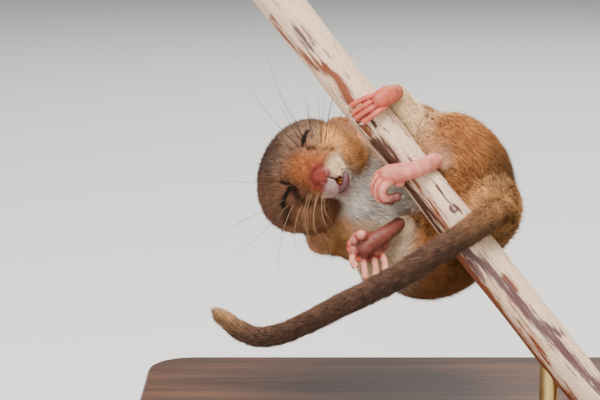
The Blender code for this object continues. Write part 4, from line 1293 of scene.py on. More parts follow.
def whisker_paths(tree, settings):
    """Each whisker as a bowed line from the skin out, thick at the root and fine at the tip."""
    paths = []
    for root, middle, tip, back, tone in WHISKERS:
        hit = tree.ray_cast(Vector((root[0], -60.0, root[1])), Vector((0.0, 1.0, 0.0)))[0]
        start = np.array((root[0], hit.y + 0.2, root[1]))
        bend = 0.5 * math.sin(7.0 * root[0] + middle[1]) + 0.4 if tone > 0.5 else 0.0
        half = np.array((middle[0] - bend, hit.y - WHISKER_BOW + back * 0.3, middle[1]))
        end = np.array((tip[0], hit.y - 0.5 + back, tip[1]))
        control = 2 * half - 0.5 * (start + end)
        share = np.linspace(0, 1, 17)[:, None]
        line = (1 - share) ** 2 * start + 2 * share * (1 - share) * control + share**2 * end
        radius = settings.radius * (1.0 - 0.62 * (tone > 0.5)) * (1 - 0.85 * share)
        paths.append(np.hstack([line, radius, np.full((17, 1), tone)]))
    return paths


def make_whiskers(skin_tree):
    settings = bpy.context.scene.dormouse_whiskers
    piece = strands("whiskers", whisker_paths(skin_tree, settings), 5, strand_material())
    return finish_piece(piece, strand_material(), "fur")


LASH_STEPS = (0, 0.33, 0.66, 1)
CLAW_STEPS = (0, 0.25, 0.5, 0.75, 1)


def lash_paths(rng):
    """Short dark lashes along both lid rims of each eye."""
    paths = []
    for name, side in SIDES:
        slit = SLITS[name]
        centre = row(on_head(EYE_PLACE, side))
        for step in range(72):
            share = step / 71 * (len(slit) - 1)
            low = min(int(share), len(slit) - 2)
            place = slit[low] + (slit[low + 1] - slit[low]) * (share - low)
            out = unit(place - centre)
            along = unit(slit[low + 1] - slit[low])
            across = np.cross(out, along) * (1 if step % 2 else -1)
            way = unit(out * 0.4 + across * rng.uniform(0.0, 0.5) + along * rng.uniform(0.3, 1.2))
            start = place + across * 0.07 - out * 0.1
            length = rng.uniform(0.6, 1.1)
            rise = [0.12 * math.sin(t * 3) - 0.3 * t * t for t in LASH_STEPS]
            line = [start + way * length * t + out * lift for t, lift in zip(LASH_STEPS, rise)]
            radius = np.array([[0.055], [0.045], [0.03], [0.008]])
            paths.append(np.hstack([np.array(line), radius, np.zeros((4, 1))]))
    return paths


def claw_paths():
    """A short hooked claw at the tip of every digit."""
    paths = []
    for name, (sole, _, digits, radii, thumb) in PAWS.items():
        for digit in digits:
            last, tip = row(digit[-2]), row(digit[-1])
            way = unit(tip - last)
            inward = unit(row(sole[-1]) - tip)
            inward = unit(inward - way * (inward @ way) + 1e-6)
            start = tip + way * radii[-1] * 0.45 - inward * radii[-1] * 0.25
            line = [start + way * 1.15 * t + inward * (0.45 * t * t - 0.05) for t in CLAW_STEPS]
            radius = np.array([[0.27], [0.25], [0.19], [0.12], [0.02]])
            paths.append(np.hstack([clear_of_twig(np.array(line), 0.15), radius, np.zeros((5, 1))]))
    return paths


def make_eyes():
    """Dark eyeballs behind the shut lids."""
    for name, side in SIDES:
        form = bmesh.new()
        add_ball(form, on_head(EYE_PLACE, side), (EYEBALL_RADIUS,) * 3, HEAD, 0.0, 40)
        ball = new_object("eyeball_" + name, mesh_from(form, "eyeball_" + name))
        finish_piece(ball, eye_material(), "bare_skin", "eye_" + name)


def make_incisors():
    """The pair of long upper front teeth between the lips."""
    top, tip, *radii = INCISOR
    forms = [Rod(on_face(top, side), on_face(tip, side), *radii) for _, side in SIDES]
    teeth = fuse("front_teeth", [mesh_of("front_teeth", forms)], 0.07, 2)
    places, _, _ = arrays_of(teeth.data)
    local = (places - row(HEAD_CENTRE)) @ HEAD_ROWS
    groove = np.exp(-(((local[:, 1] + 0.2) / 0.08) ** 2)) * 0.2
    move_to(teeth.data, places - groove[:, None] * unit(row(HEAD.col[0]))[None])
    finish_piece(teeth, tooth_material(), "tooth", "incisors")


def twig_tree():
    """Geometry nodes that sweep the twig's axis into a wavering, ridged stick with cut ends."""
    tree = bpy.data.node_groups.new("twig_sweep", "GeometryNodeTree")
    sizes = (("Rings", "Int", 400), ("Sides", "Int", 90), ("Radius", "Float", TWIG_RADIUS))
    sizes += (("Swell", "Float", TWIG_SWELL), ("Ridge", "Float", 0.1))
    give_sockets(tree, (GEOMETRY, *sizes, MATERIAL), (GEOMETRY,))
    join = tree.links.new

    def node(kind, **settings):
        made = tree.nodes.new(kind)
        for key, value in settings.items():
            setattr(made, key, value)
        return made

    def arithmetic(operation, *values):
        made = node("ShaderNodeMath", operation=operation)
        for socket, value in zip(made.inputs, values):
            if isinstance(value, (int, float)):
                socket.default_value = value
            else:
                join(value, socket)
        return made.outputs[0]

    given, result = node("NodeGroupInput"), node("NodeGroupOutput")
    curve, sampled = node("GeometryNodeMeshToCurve"), node("GeometryNodeResampleCurve")
    join(given.outputs["Geometry"], curve.inputs["Mesh"])
    join(curve.outputs["Curve"], sampled.inputs["Curve"])
    join(given.outputs["Rings"], sampled.inputs["Count"])
    share = node("GeometryNodeSplineParameter").outputs["Factor"]
    slow = arithmetic("SINE", arithmetic("MULTIPLY_ADD", share, 9.4, 0.6))
    fast = arithmetic("MULTIPLY", arithmetic("SINE", arithmetic("MULTIPLY", share, 23.0)), 0.6)
    swell = arithmetic("MULTIPLY", arithmetic("ADD", slow, fast), given.outputs["Swell"])
    scale = arithmetic("ADD", swell, given.outputs["Radius"])
    circle, tube = node("GeometryNodeCurvePrimitiveCircle"), node("GeometryNodeCurveToMesh")
    circle.inputs["Radius"].default_value = 1.0
    tube.inputs["Fill Caps"].default_value = True
    join(given.outputs["Sides"], circle.inputs["Resolution"])
    join(sampled.outputs["Curve"], tube.inputs["Curve"])
    join(circle.outputs["Curve"], tube.inputs["Profile Curve"])
    join(scale, tube.inputs["Scale"])
    turned = node("ShaderNodeVectorRotate", rotation_type="EULER_XYZ", invert=True)
    turned.inputs["Rotation"].default_value = (TWIG_FOOT - TWIG_TOP).to_track_quat("Z", "Y").to_euler()
    join(node("GeometryNodeInputPosition").outputs[0], turned.inputs["Vector"])
    stretched = node("ShaderNodeVectorMath", operation="MULTIPLY")
    stretched.inputs[1].default_value = (1.0, 1.0, 0.09)
    join(turned.outputs[0], stretched.inputs[0])
    fibre = node("ShaderNodeTexNoise")
    fibre.inputs["Scale"].default_value = 1.5
    fibre.inputs["Detail"].default_value = 6.0
    fibre.inputs["Roughness"].default_value = 0.62
    join(stretched.outputs[0], fibre.inputs["Vector"])
    height = arithmetic("MULTIPLY", arithmetic("SUBTRACT", fibre.outputs["Fac"], 0.5), given.outputs["Ridge"])
    offset = node("ShaderNodeVectorMath", operation="SCALE")
    join(node("GeometryNodeInputNormal").outputs[0], offset.inputs[0])
    join(height, offset.inputs["Scale"])
    place = node("GeometryNodeSetPosition")
    join(tube.outputs["Mesh"], place.inputs["Geometry"])
    join(offset.outputs[0], place.inputs["Offset"])
    real, paint = node("GeometryNodeRealizeInstances"), node("GeometryNodeSetMaterial")
    join(place.outputs["Geometry"], real.inputs["Geometry"])
    join(real.outputs["Geometry"], paint.inputs["Geometry"])
    join(given.outputs["Material"], paint.inputs["Material"])
    join(paint.outputs["Geometry"], result.inputs["Geometry"])
    return tree


# Marks on the twig: strength, half width, and places as millimetres down it with the angle round it
TWIG_MARKS = {
    "brown": (
        (0.8, 0.8, ((10.1, 3.66), (13.9, 3.56), (17.7, 3.74), (21.5, 3.93))),
        (0.95, 0.75, ((22.5, 4.34), (24.7, 4.49), (27.2, 4.4), (29.8, 4.3))),
        (0.55, 0.6, ((17.7, 3.74), (22.2, 4.21))),
        (0.75, 0.7, ((31.3, 4.0), (33.9, 4.02), (36.1, 4.03))),
        (0.6, 0.7, ((36.8, 5.54), (40.2, 5.75))),
        (0.75, 0.7, ((46.5, 4.35), (52.2, 4.29), (56.8, 4.11))),
        (0.6, 0.7, ((51.4, 6.0), (56.7, 6.1))),
        (1.0, 1.3, ((60.9, 3.4), (68.2, 3.5), (74.1, 3.4), (80.0, 3.4), (87.0, 3.4), (99.0, 3.5))),
        (0.9, 0.9, ((69.7, 4.9), (72.4, 4.92))),
        (1.0, 1.0, ((72.9, 4.61), (76.4, 4.63))),
        (0.85, 0.8, ((84.0, 4.85), (87.5, 5.05))),
        (0.7, 0.7, ((76.7, 4.24), (81.3, 4.13), (85.7, 3.92))),
        (0.9, 1.0, ((8.0, 1.2), (24.0, 1.6), (30.0, 1.4))),
        (0.9, 1.1, ((60.0, 0.9), (78.0, 1.3), (92.0, 1.0))),
    ),
    "purple": (
        (0.6, 1.0, ((14.4, 4.38), (17.9, 4.58))),
        (0.9, 0.7, ((60.6, 4.14), (63.9, 4.34), (66.8, 4.48))),
        (1.0, 0.9, ((64.2, 4.46), (71.6, 4.64), (78.5, 4.77), (86.0, 4.96), (94.6, 5.24), (99.0, 5.3))),
        (0.9, 0.7, ((79.3, 4.91), (83.2, 5.33))),
        (0.8, 0.6, ((63.9, 3.97), (67.8, 3.96))),
        (1.0, 0.16, ((54.4, 4.93), (54.7, 5.2), (55.5, 5.2), (55.6, 4.98), (54.9, 4.86), (54.4, 4.93))),
        (0.6, 0.5, ((54.9, 5.0), (55.3, 5.1))),
        (0.8, 0.9, ((26.0, 2.4), (45.0, 2.1), (52.0, 2.3))),
        (0.7, 0.8, ((4.0, 0.3), (14.0, 0.5))),
    ),
    "dark": (
        (1.0, 1.1, ((38.0, 3.97), (40.2, 4.11), (42.4, 4.12))),
        (0.9, 0.18, ((33.6, 4.51), (35.7, 4.55))),
        (0.9, 0.15, ((36.8, 4.8), (38.0, 4.84))),
        (1.0, 0.3, ((41.8, 6.1), (44.3, 6.15))),
        # Painted shade along the twig's left edge.
        (1.0, 0.8, ((45.2, 3.77), (51.0, 3.68), (56.8, 3.58))),
        (1.0, 0.16, ((50.1, 5.12), (52.5, 5.06), (54.3, 5.09))),
        (0.9, 0.2, ((35.0, 1.0), (47.0, 0.9), (54.0, 1.05))),
    ),
}


def twig_places(points):
    """How far down the twig each point lies, and its angle round the axis: 0 is right, 3.14 left."""
    along = row((TWIG_FOOT - TWIG_TOP).normalized())
    local = points - row(TWIG_TOP)
    down = local @ along
    right = np.array((-along[2], 0.0, along[0]))
    angle = np.arctan2(local[:, 1], local @ right)
    return down, np.mod(angle, 2 * math.pi)


def make_twig():
    """The cut twig, with its ridges, stains and knot."""
    line = bpy.data.meshes.new("twig_axis")
    line.from_pydata([TWIG_TOP, TWIG_FOOT], [(0, 1)], [])
    piece = new_object("hazel_twig", line)
    settings = bpy.context.scene.dormouse_twig
    values = {"Rings": 400, "Sides": 90, "Radius": TWIG_RADIUS, "Swell": TWIG_SWELL}
    values.update({"Ridge": settings.ridge, "Material": bark_material()})
    through_nodes(piece, twig_tree(), values)
    places, normals, _ = arrays_of(piece.data)
    down, angle = twig_places(places)
    length = (TWIG_FOOT - TWIG_TOP).length
    rolled = np.stack([down, angle * TWIG_RADIUS, np.zeros(len(down))], 1)
    marks = []
    for lines in TWIG_MARKS.values():
        layers = []
        for strength, half, line in lines:
            path = np.array([(d, a * TWIG_RADIUS, 0.0) for d, a in line])
            layers.append(strength * np.exp(-((off_path(path, rolled) / (1.3 * half)) ** 2)))
        marks.append(np.max(layers, axis=0))
    set_attribute(piece.data, "marks", "FLOAT_COLOR", np.stack(marks, 1))
    ends = np.minimum(down, length - down)
    set_attribute(piece.data, "cut_end", "FLOAT", ramp(0.12, 0.0, ends))
    finish_piece(piece, bark_material(), "bark", "twig")


# Collar and foot of the rod: radius and height over the rod's lower end
ROD_PROFILE = (
    *((0.0, 0.0), (4.0, 0.0), (4.2, 0.25), (4.2, 1.5), (3.9, 2.2)),
    *((3.2, 2.6), (2.1, 2.8), (1.75, 3.3), (1.6, 4.2)),
)


def make_stand():
    """A finer board with a softened edge, and the turned metal rod on its collar."""
    low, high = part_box("stand_base")
    size = high - low
    form = bmesh.new()
    bmesh.ops.create_cube(form, size=1.0)
    bmesh.ops.scale(form, vec=size, verts=form.verts)
    bmesh.ops.translate(form, vec=(low + high) / 2, verts=form.verts)
    upright = [e for e in form.edges if abs(e.verts[0].co.z - e.verts[1].co.z) > size.z / 2]
    bmesh.ops.bevel(form, geom=upright, offset=9.0 * MM, segments=18, affect="EDGES", profile=0.5)
    flat = [e for e in form.edges if abs(e.verts[0].co.z - e.verts[1].co.z) < 1e-6 and len(e.link_faces) == 2]
    rim = [e for e in flat if abs(e.link_faces[0].normal.z - e.link_faces[1].normal.z) > 0.5]
    top = [e for e in rim if e.verts[0].co.z > size.z / 2]
    bmesh.ops.bevel(form, geom=top, offset=1.2 * MM, segments=5, affect="EDGES", profile=0.5)
    mesh = mesh_from(form, "stand_board")
    board = new_object("stand_board", mesh)
    board.data.materials.append(board_material())
    board.data.shade_smooth()
    board.data.set_sharp_from_angle(angle=math.radians(35))
    declare(board, "stand_wood", "stand_base")
    low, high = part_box("stand_rod")
    middle = (low + high) / 2
    floor, top = low.z - 0.3 * MM, high.z + 0.6 * MM
    profile = [(r * MM, 0.0, floor + z * MM) for r, z in ROD_PROFILE]
    profile += [(ROD_PROFILE[-1][0] * MM, 0.0, top), (0.0, 0.0, top)]
    turned = bpy.data.meshes.new("stand_pin")
    turned.from_pydata(profile, [(i, i + 1) for i in range(len(profile) - 1)], [])
    pin = new_object("stand_pin", turned)
    screw = pin.modifiers.new("Screw", "SCREW")
    screw.steps = screw.render_steps = 48
    screw.use_merge_vertices = True
    screw.merge_threshold = 1e-6
    bake(pin)
    form = bmesh.new()
    form.from_mesh(pin.data)
    bmesh.ops.remove_doubles(form, verts=form.verts, dist=1e-6)
    bmesh.ops.recalc_face_normals(form, faces=form.faces)
    bmesh.ops.translate(form, vec=(middle.x, middle.y, 0.0), verts=form.verts)
    form.to_mesh(pin.data)
    form.free()
    pin.data.materials.append(metal_material())
    pin.data.shade_smooth()
    pin.data.set_sharp_from_angle(angle=math.radians(40))
    declare(pin, "stand_metal", "stand_rod")


def new_material(name, roughness=0.5, specular=0.5):
    """A fresh material with its shader, and functions that link and add nodes."""
    material = bpy.data.materials.new(name)
    material.use_nodes = True
    tree = material.node_tree
    shader = tree.nodes["Principled BSDF"]
    shader.inputs["Roughness"].default_value = roughness
    shader.inputs["Specular IOR Level"].default_value = specular

    def add(kind, links=(), **values):
        node = tree.nodes.new(kind)
        for key, value in values.items():
            if key in node.inputs:
                node.inputs[key].default_value = value
            else:
                setattr(node, key, value)
        for source, socket in links:
            tree.links.new(source, node.inputs[socket])
        return node

    return material, shader, tree.links.new, add


def mottle_group():
    """Soft noise of two sizes: a mask for colour and a height for bumps."""
    tree = bpy.data.node_groups.get("mottle")
    if tree:
        return tree
    tree = bpy.data.node_groups.new("mottle", "ShaderNodeTree")
    inputs = (("Vector", "Vector"), ("Coarse", "Float", 300.0), ("Fine", "Float", 2500.0))
    give_sockets(tree, inputs, (("Mask", "Float"), ("Height", "Float")))
    given, result = tree.nodes.new("NodeGroupInput"), tree.nodes.new("NodeGroupOutput")
    parts = []
    for socket in ("Coarse", "Fine"):
        noise = tree.nodes.new("ShaderNodeTexNoise")
        noise.inputs["Detail"].default_value = 4.0
        tree.links.new(given.outputs["Vector"], noise.inputs["Vector"])
        tree.links.new(given.outputs[socket], noise.inputs["Scale"])
        parts.append(noise.outputs["Fac"])
    spread_out = tree.nodes.new("ShaderNodeMapRange")
    spread_out.inputs["From Min"].default_value = 0.36
    spread_out.inputs["From Max"].default_value = 0.64
    tree.links.new(parts[0], spread_out.inputs["Value"])
    both = tree.nodes.new("ShaderNodeMath")
    both.operation = "MULTIPLY_ADD"
    both.inputs[1].default_value = 0.6
    tree.links.new(parts[0], both.inputs[0])
    tree.links.new(parts[1], both.inputs[2])
    tree.links.new(spread_out.outputs["Result"], result.inputs["Mask"])
    tree.links.new(both.outputs[0], result.inputs["Height"])
    return tree


def mottle(add, coarse, fine):
    group = add("ShaderNodeGroup")
    vector = add("ShaderNodeTexCoord").outputs["Object"]
    group.node_tree = mottle_group()
    group.inputs["Coarse"].default_value = coarse
    group.inputs["Fine"].default_value = fine
    group.id_data.links.new(vector, group.inputs["Vector"])
    return group.outputs["Mask"], group.outputs["Height"]


def mixed(add, join, share, first, second, mode="MIX"):
    """A colour between first and second, which may be colours or sockets."""
    node = add("ShaderNodeMix", data_type="RGBA", blend_type=mode)
    for socket, value in zip((node.inputs[0], node.inputs[6], node.inputs[7]), (share, first, second)):
        if isinstance(value, bpy.types.NodeSocket):
            join(value, socket)
        elif isinstance(value, (int, float)):
            socket.default_value = value
        else:
            socket.default_value = (*tuple(value)[:3], 1.0)
    return node.outputs[2]


def mesh_value(add, name, output="Fac"):
    """A value or colour that the mesh carries at its points."""
    return add("ShaderNodeAttribute", attribute_name=name).outputs[output]


def narrowed(add, source, low, high, least=0.0, most=1.0):
    """The source with low to high stretched to least to most."""
    node = add("ShaderNodeMapRange", [(source, "Value")])
    for name, value in zip(("From Min", "From Max", "To Min", "To Max"), (low, high, least, most)):
        node.inputs[name].default_value = value
    return node.outputs["Result"]


def bumped(add, join, shader, height, strength, distance):
    bump = add("ShaderNodeBump", [(height, "Height")], Strength=strength, Distance=distance)
    join(bump.outputs["Normal"], shader.inputs["Normal"])


def kept(function):
    """Makes a material once and hands the same one out afterwards."""
    made = {}

    def once():
        if function not in made:
            made[function] = function()
        return made[function]

    once.__doc__ = function.__doc__
    return once


@kept
def coat_material():
    """Soft fur: the coat's own colours, a little uneven, with a dull sheen."""
    material, shader, join, add = new_material("dormouse_fur", 0.7, 0.12)
    colour = mesh_value(add, "coat_colour", "Color")
    mask, _ = mottle(add, 420.0, 3000.0)
    shade = mixed(add, join, mask, (0.86, 0.84, 0.84), (1.1, 1.08, 1.04))
    join(mixed(add, join, 1.0, colour, shade, "MULTIPLY"), shader.inputs["Base Color"])
    return material


@kept
def skin_material():
    """Skin: fur roots under the coat, and moist, finely wrinkled pink where it is bare."""
    material, shader, join, add = new_material("dormouse_skin", specular=0.35)
    place = add("ShaderNodeTexCoord").outputs["Object"]
    colour = mesh_value(add, "skin_colour", "Color")
    bare = mesh_value(add, "gloss")
    mask, height = mottle(add, 700.0, 6000.0)
    shade = mixed(add, join, mask, (0.84, 0.78, 0.78), (1.1, 1.06, 1.05))
    join(mixed(add, join, 1.0, colour, shade, "MULTIPLY"), shader.inputs["Base Color"])
    rough = narrowed(add, bare, 0.0, 1.0, 0.95, 0.5)
    join(rough, shader.inputs["Roughness"])
    cells = add("ShaderNodeTexVoronoi", [(place, "Vector")], Scale=4200.0)
    both = add("ShaderNodeMath", [(height, 0), (cells.outputs["Distance"], 1)], operation="ADD")
    bumped(add, join, shader, both.outputs[0], 0.35, 0.00008)
    shader.inputs["Subsurface Weight"].default_value = 0.12
    shader.inputs["Subsurface Radius"].default_value = (1.0, 0.35, 0.25)
    shader.inputs["Subsurface Scale"].default_value = 0.0006
    return material


@kept
def strand_material():
    """Whiskers and lashes: near black at the root, pale towards the tip, with tone making them cream."""
    material, shader, join, add = new_material("whisker_hair", 0.6, 0.2)
    settings = bpy.context.scene.dormouse_whiskers
    along = mesh_value(add, "along")
    tone = mesh_value(add, "tone")
    share = narrowed(add, along, 0.55, 1.0)
    dark = mixed(add, join, share, settings.root_colour, settings.tip_colour)
    join(mixed(add, join, tone, dark, settings.pale_colour), shader.inputs["Base Color"])
    return material


@kept
def lash_material():
    """Lashes: black brown all along, with a soft gloss."""
    material, shader, join, add = new_material("lash_hair", 0.7, 0.15)
    mask, _ = mottle(add, 900.0, 4000.0)
    join(mixed(add, join, mask, light(12, 9, 9), light(30, 22, 20)), shader.inputs["Base Color"])
    return material


@kept
def claw_material():
    """Claws: pale horn, darker and clearer towards the point."""
    material, shader, join, add = new_material("claw_horn", 0.28)
    along = mesh_value(add, "along")
    mask, height = mottle(add, 1500.0, 5000.0)
    horn = mixed(add, join, mask, light(226, 196, 180), light(238, 214, 198))
    join(mixed(add, join, along, horn, light(168, 128, 104)), shader.inputs["Base Color"])
    bumped(add, join, shader, height, 0.2, 0.00003)
    return material


@kept
def eye_material():
    """The eyeball: black brown and wet."""
    material, shader, join, add = new_material("wet_eye", 0.08)
    mask, _ = mottle(add, 600.0, 3000.0)
    join(mixed(add, join, mask, light(8, 6, 6), light(24, 15, 12)), shader.inputs["Base Color"])
    return material


@kept
def tooth_material():
    """Tooth: orange enamel with long streaks and paler edges."""
    material, shader, join, add = new_material("orange_enamel", 0.22)
    mask, height = mottle(add, 900.0, 5000.0)
    join(mixed(add, join, mask, light(74, 36, 10), light(150, 88, 34)), shader.inputs["Base Color"])
    bumped(add, join, shader, height, 0.15, 0.00004)
    return material


@kept
def bark_material():
    """Weathered bare twig: pale wood with red-brown stains, grey specks, long fibres and cut ends."""
    material, shader, join, add = new_material("weathered_twig", 0.72)
    settings = bpy.context.scene.dormouse_twig
    place = add("ShaderNodeTexCoord").outputs["Object"]
    turn = POSE.to_quaternion() @ (TWIG_FOOT - TWIG_TOP).to_track_quat("Z", "Y")
    turned = add("ShaderNodeMapping", [(place, "Vector")], vector_type="TEXTURE", Rotation=turn.to_euler())
    stretch = add("ShaderNodeVectorMath", [(turned.outputs[0], 0)], operation="MULTIPLY")
    stretch.inputs[1].default_value = (1.0, 1.0, 0.09)
    along = [(stretch.outputs[0], "Vector")]
    fibre = add("ShaderNodeTexNoise", along, Scale=2400.0, Detail=8.0, Roughness=0.7)
    broad = add("ShaderNodeTexNoise", along, Scale=800.0, Detail=6.0, Roughness=0.65)
    wood = mixed(add, join, broad.outputs["Fac"], settings.shaded_wood, settings.wood)
    grain = narrowed(add, fibre.outputs["Fac"], 0.52, 0.7, 0.0, 0.5)
    wood = mixed(add, join, grain, wood, settings.fibre)
    speck_space = add("ShaderNodeVectorMath", [(turned.outputs[0], 0)], operation="MULTIPLY")
    speck_space.inputs[1].default_value = (1.0, 1.0, 0.4)
    specks = add("ShaderNodeTexNoise", [(speck_space.outputs[0], "Vector")], Scale=4600.0, Detail=3.0)
    dots = narrowed(add, specks.outputs["Fac"], 0.6, 0.68, 0.0, 0.8)
    wood = mixed(add, join, dots, wood, settings.speck)
    marks = add("ShaderNodeSeparateColor")
    join(mesh_value(add, "marks", "Color"), marks.inputs[0])
    patchy = add("ShaderNodeMath", [(broad.outputs["Fac"], 0), (fibre.outputs["Fac"], 1)], operation="ADD")
    for channel, colour in zip(marks.outputs, (settings.stain, settings.purple, settings.dark)):
        ragged = add("ShaderNodeMath", [(patchy.outputs[0], 0), (channel, 2)], operation="MULTIPLY_ADD")
        ragged.inputs[1].default_value = 2.3
        edge = narrowed(add, ragged.outputs[0], 2.62, 3.05, 0.0, 0.98)
        wood = mixed(add, join, edge, wood, colour)
    end = mesh_value(add, "cut_end")
    rings = add("ShaderNodeTexWave", [(turned.outputs[0], "Vector")], Scale=900.0, Distortion=1.5, Detail=2.0)
    rings.wave_type = "RINGS"
    rings.rings_direction = "Z"
    cut = mixed(add, join, rings.outputs["Fac"], light(214, 184, 140), light(232, 208, 170))
    join(mixed(add, join, end, wood, cut), shader.inputs["Base Color"])
    heights = add("ShaderNodeMath", [(fibre.outputs["Fac"], 0), (broad.outputs["Fac"], 1)], operation="ADD")
    bumped(add, join, shader, heights.outputs[0], 0.6, 0.00025)
    return material


@kept
def board_material():
    """Stained hardwood board with straight grain and a satin varnish."""
    material, shader, join, add = new_material("stained_board", 0.38)
    settings = bpy.context.scene.dormouse_stand
    place = add("ShaderNodeTexCoord").outputs["Object"]
    stretch = add("ShaderNodeMapping", [(place, "Vector")])
    stretch.inputs["Scale"].default_value = (0.06, 1.0, 1.0)
    along = [(stretch.outputs[0], "Vector")]
    grain = add("ShaderNodeTexNoise", along, Scale=700.0, Detail=7.0, Roughness=0.6)
    bands = add("ShaderNodeTexNoise", along, Scale=160.0, Detail=3.0, Distortion=0.6)
    both = add("ShaderNodeMath", [(grain.outputs["Fac"], 0), (bands.outputs["Fac"], 1)], operation="MULTIPLY")
    share = narrowed(add, both.outputs[0], 0.15, 0.38)
    join(mixed(add, join, share, settings.dark_wood, settings.light_wood), shader.inputs["Base Color"])
    bumped(add, join, shader, grain.outputs["Fac"], 0.25, 0.0001)
    shader.inputs["Coat Weight"].default_value = 0.25
    shader.inputs["Coat Roughness"].default_value = 0.25
    return material


@kept
def metal_material():
    """Brushed brass with fine turned lines."""
    material, shader, join, add = new_material("turned_brass")
    settings = bpy.context.scene.dormouse_stand
    place = add("ShaderNodeTexCoord").outputs["Object"]
    stretch = add("ShaderNodeMapping", [(place, "Vector")])
    stretch.inputs["Scale"].default_value = (0.15, 0.15, 3.0)
    lines = add("ShaderNodeTexNoise", [(stretch.outputs[0], "Vector")], Scale=2500.0, Detail=3.0)
    tarnish, _ = mottle(add, 350.0, 2000.0)
    join(mixed(add, join, tarnish, settings.metal, light(196, 162, 104)), shader.inputs["Base Color"])
    rough = narrowed(add, lines.outputs["Fac"], 0.0, 1.0, 0.22, 0.42)
    join(rough, shader.inputs["Roughness"])
    bumped(add, join, shader, lines.outputs["Fac"], 0.1, 0.00005)
    shader.inputs["Metallic"].default_value = 1.0
    return material


@kept
def floor_material():
    """Plain pale matt floor."""
    material, shader, join, add = new_material("pale_floor", 0.8)
    settings = bpy.context.scene.dormouse_stage
    mask, _ = mottle(add, 3.0, 40.0)
    tone = np.array(settings.floor)
    join(mixed(add, join, mask, tone * 0.985, tone), shader.inputs["Base Color"])
    return material


CAMERA_DISTANCE = 350.0
PIXELS_PER_MM = 5.8
SENSOR_WIDTH = 36.0
FLOOR_HALF = 4.0

# Lights: place in metres, size, strength in watts, colour
LIGHTS = {
    "key_light": ((0.0, -0.35, 0.8), 0.4, 15.0, (1.0, 0.97, 0.93)),
    "fill_light": ((-0.25, -0.8, 0.36), 0.5, 4.6, (0.95, 0.98, 1.0)),
    "back_light": ((0.2, 0.6, 0.6), 0.4, 4.0, (1.0, 0.98, 0.95)),
}


def make_stage():
    """Floor, soft lights and the camera at the photograph's viewing angle."""
    settings = bpy.context.scene.dormouse_stage
    form = bmesh.new()
    bmesh.ops.create_grid(form, x_segments=8, y_segments=8, size=FLOOR_HALF)
    mesh = mesh_from(form, "floor")
    mesh.materials.append(floor_material())
    new_object("floor", mesh)
    target = POSE @ Vector((10.0, 5.0, 0.0))
    for name, (place, size, strength, colour) in LIGHTS.items():
        lamp = bpy.data.lights.new(name, "AREA")
        lamp.shape = "DISK"
        lamp.size = size
        lamp.energy = strength * settings.light_strength
        lamp.color = colour
        holder = new_object(name, lamp)
        holder.location = place
        holder.rotation_euler = (target - Vector(place)).to_track_quat("-Z", "Y").to_euler()
    world = bpy.data.worlds.new("studio")
    world.use_nodes = True
    world.node_tree.nodes["Background"].inputs["Color"].default_value = (0.92, 0.95, 1.0, 1.0)
    world.node_tree.nodes["Background"].inputs["Strength"].default_value = settings.world_strength
    bpy.context.scene.world = world
    camera = bpy.data.cameras.new("camera")
    camera.sensor_width = SENSOR_WIDTH
    camera.lens = SENSOR_WIDTH * CAMERA_DISTANCE / (IMAGE_SIZE[0] / PIXELS_PER_MM)
    camera.clip_start = 0.01
    camera.clip_end = 20.0
    viewer = new_object("camera", camera)
    place = Matrix.Translation(POSE_OVER_BASE * MM) @ Matrix.Rotation(-LEAN, 4, "X")
    viewer.matrix_world = (
        place @ Matrix.Translation((0.0, -CAMERA_DISTANCE * MM, 0.0)) @ Matrix.Rotation(math.pi / 2, 4, "X")
    )
    bpy.context.scene.camera = viewer


def colour_property(name, shown, description):
    """A colour setting, whose usual value is given as it shows on a screen."""
    limits = {"subtype": "COLOR", "size": 3, "min": 0.0, "max": 1.0}
    return bpy.props.FloatVectorProperty(name=name, description=description, default=light(*shown), **limits)


def number_property(name, value, description, least=0.0, most=100.0):
    return bpy.props.FloatProperty(name=name, description=description, default=value, min=least, max=most)


FUR_COLOURS = {
    "crown": ((86, 62, 56), "Top and back of the head"),
    "forehead": ((156, 121, 99), "Forehead between the eyes"),
    "muzzle": ((176, 105, 60), "Top of the muzzle"),
    "gold": ((237, 175, 113), "Cheeks and flanks"),
    # Painted shade for the right side of the face and the ruff under the head.
    "russet": ((128, 86, 64), "Shaded side of the face and the ruff"),
    "haunch": ((209, 140, 84), "Thighs"),
    "back": ((100, 69, 47), "Along the spine"),
    "cream": ((255, 236, 206), "Edges of the belly, forearms and shanks"),
    "white": ((255, 246, 235), "Throat, chest and whisker pads"),
    "lip_hair": ((204, 176, 172), "Lips, chin and the right whisker pad"),
    "tail": ((102, 75, 61), "Tail"),
    "tail_tip": ((170, 130, 92), "End of the tail"),
    # Also used for painted shade below the right eye and round the right eye and whisker roots.
    "dark": ((46, 28, 20), "Dark hair tips and the hair round the eyes"),
    "ear_hair": ((202, 154, 112), "Short hair on the ears"),
}
# Pale pink on ridges and the paler left nostril rim are painted highlights; deep red in folds and the near
# black insides of nostrils and mouth are painted shade.
SKIN_COLOURS = {
    "pale_pink": ((214, 140, 120), "Ridges of bare skin"),
    "pink": ((194, 98, 82), "Bare skin of hands and feet"),
    "deep_red": ((120, 34, 30), "Folds of bare skin"),
    "nose": ((140, 42, 32), "Top of the nose"),
    "wing": ((214, 146, 148), "Rims of the nostrils"),
    "nostril": ((70, 10, 14), "Inside the nostrils"),
    "upper_lip": ((196, 144, 144), "Upper lip"),
    "lower_lip": ((86, 50, 56), "Lower lip"),
    "mouth": ((60, 12, 14), "Inside the mouth"),
    "lid": ((16, 12, 12), "Rims of the shut lids"),
    "ear": ((170, 116, 88), "Thin skin of the ears"),
}


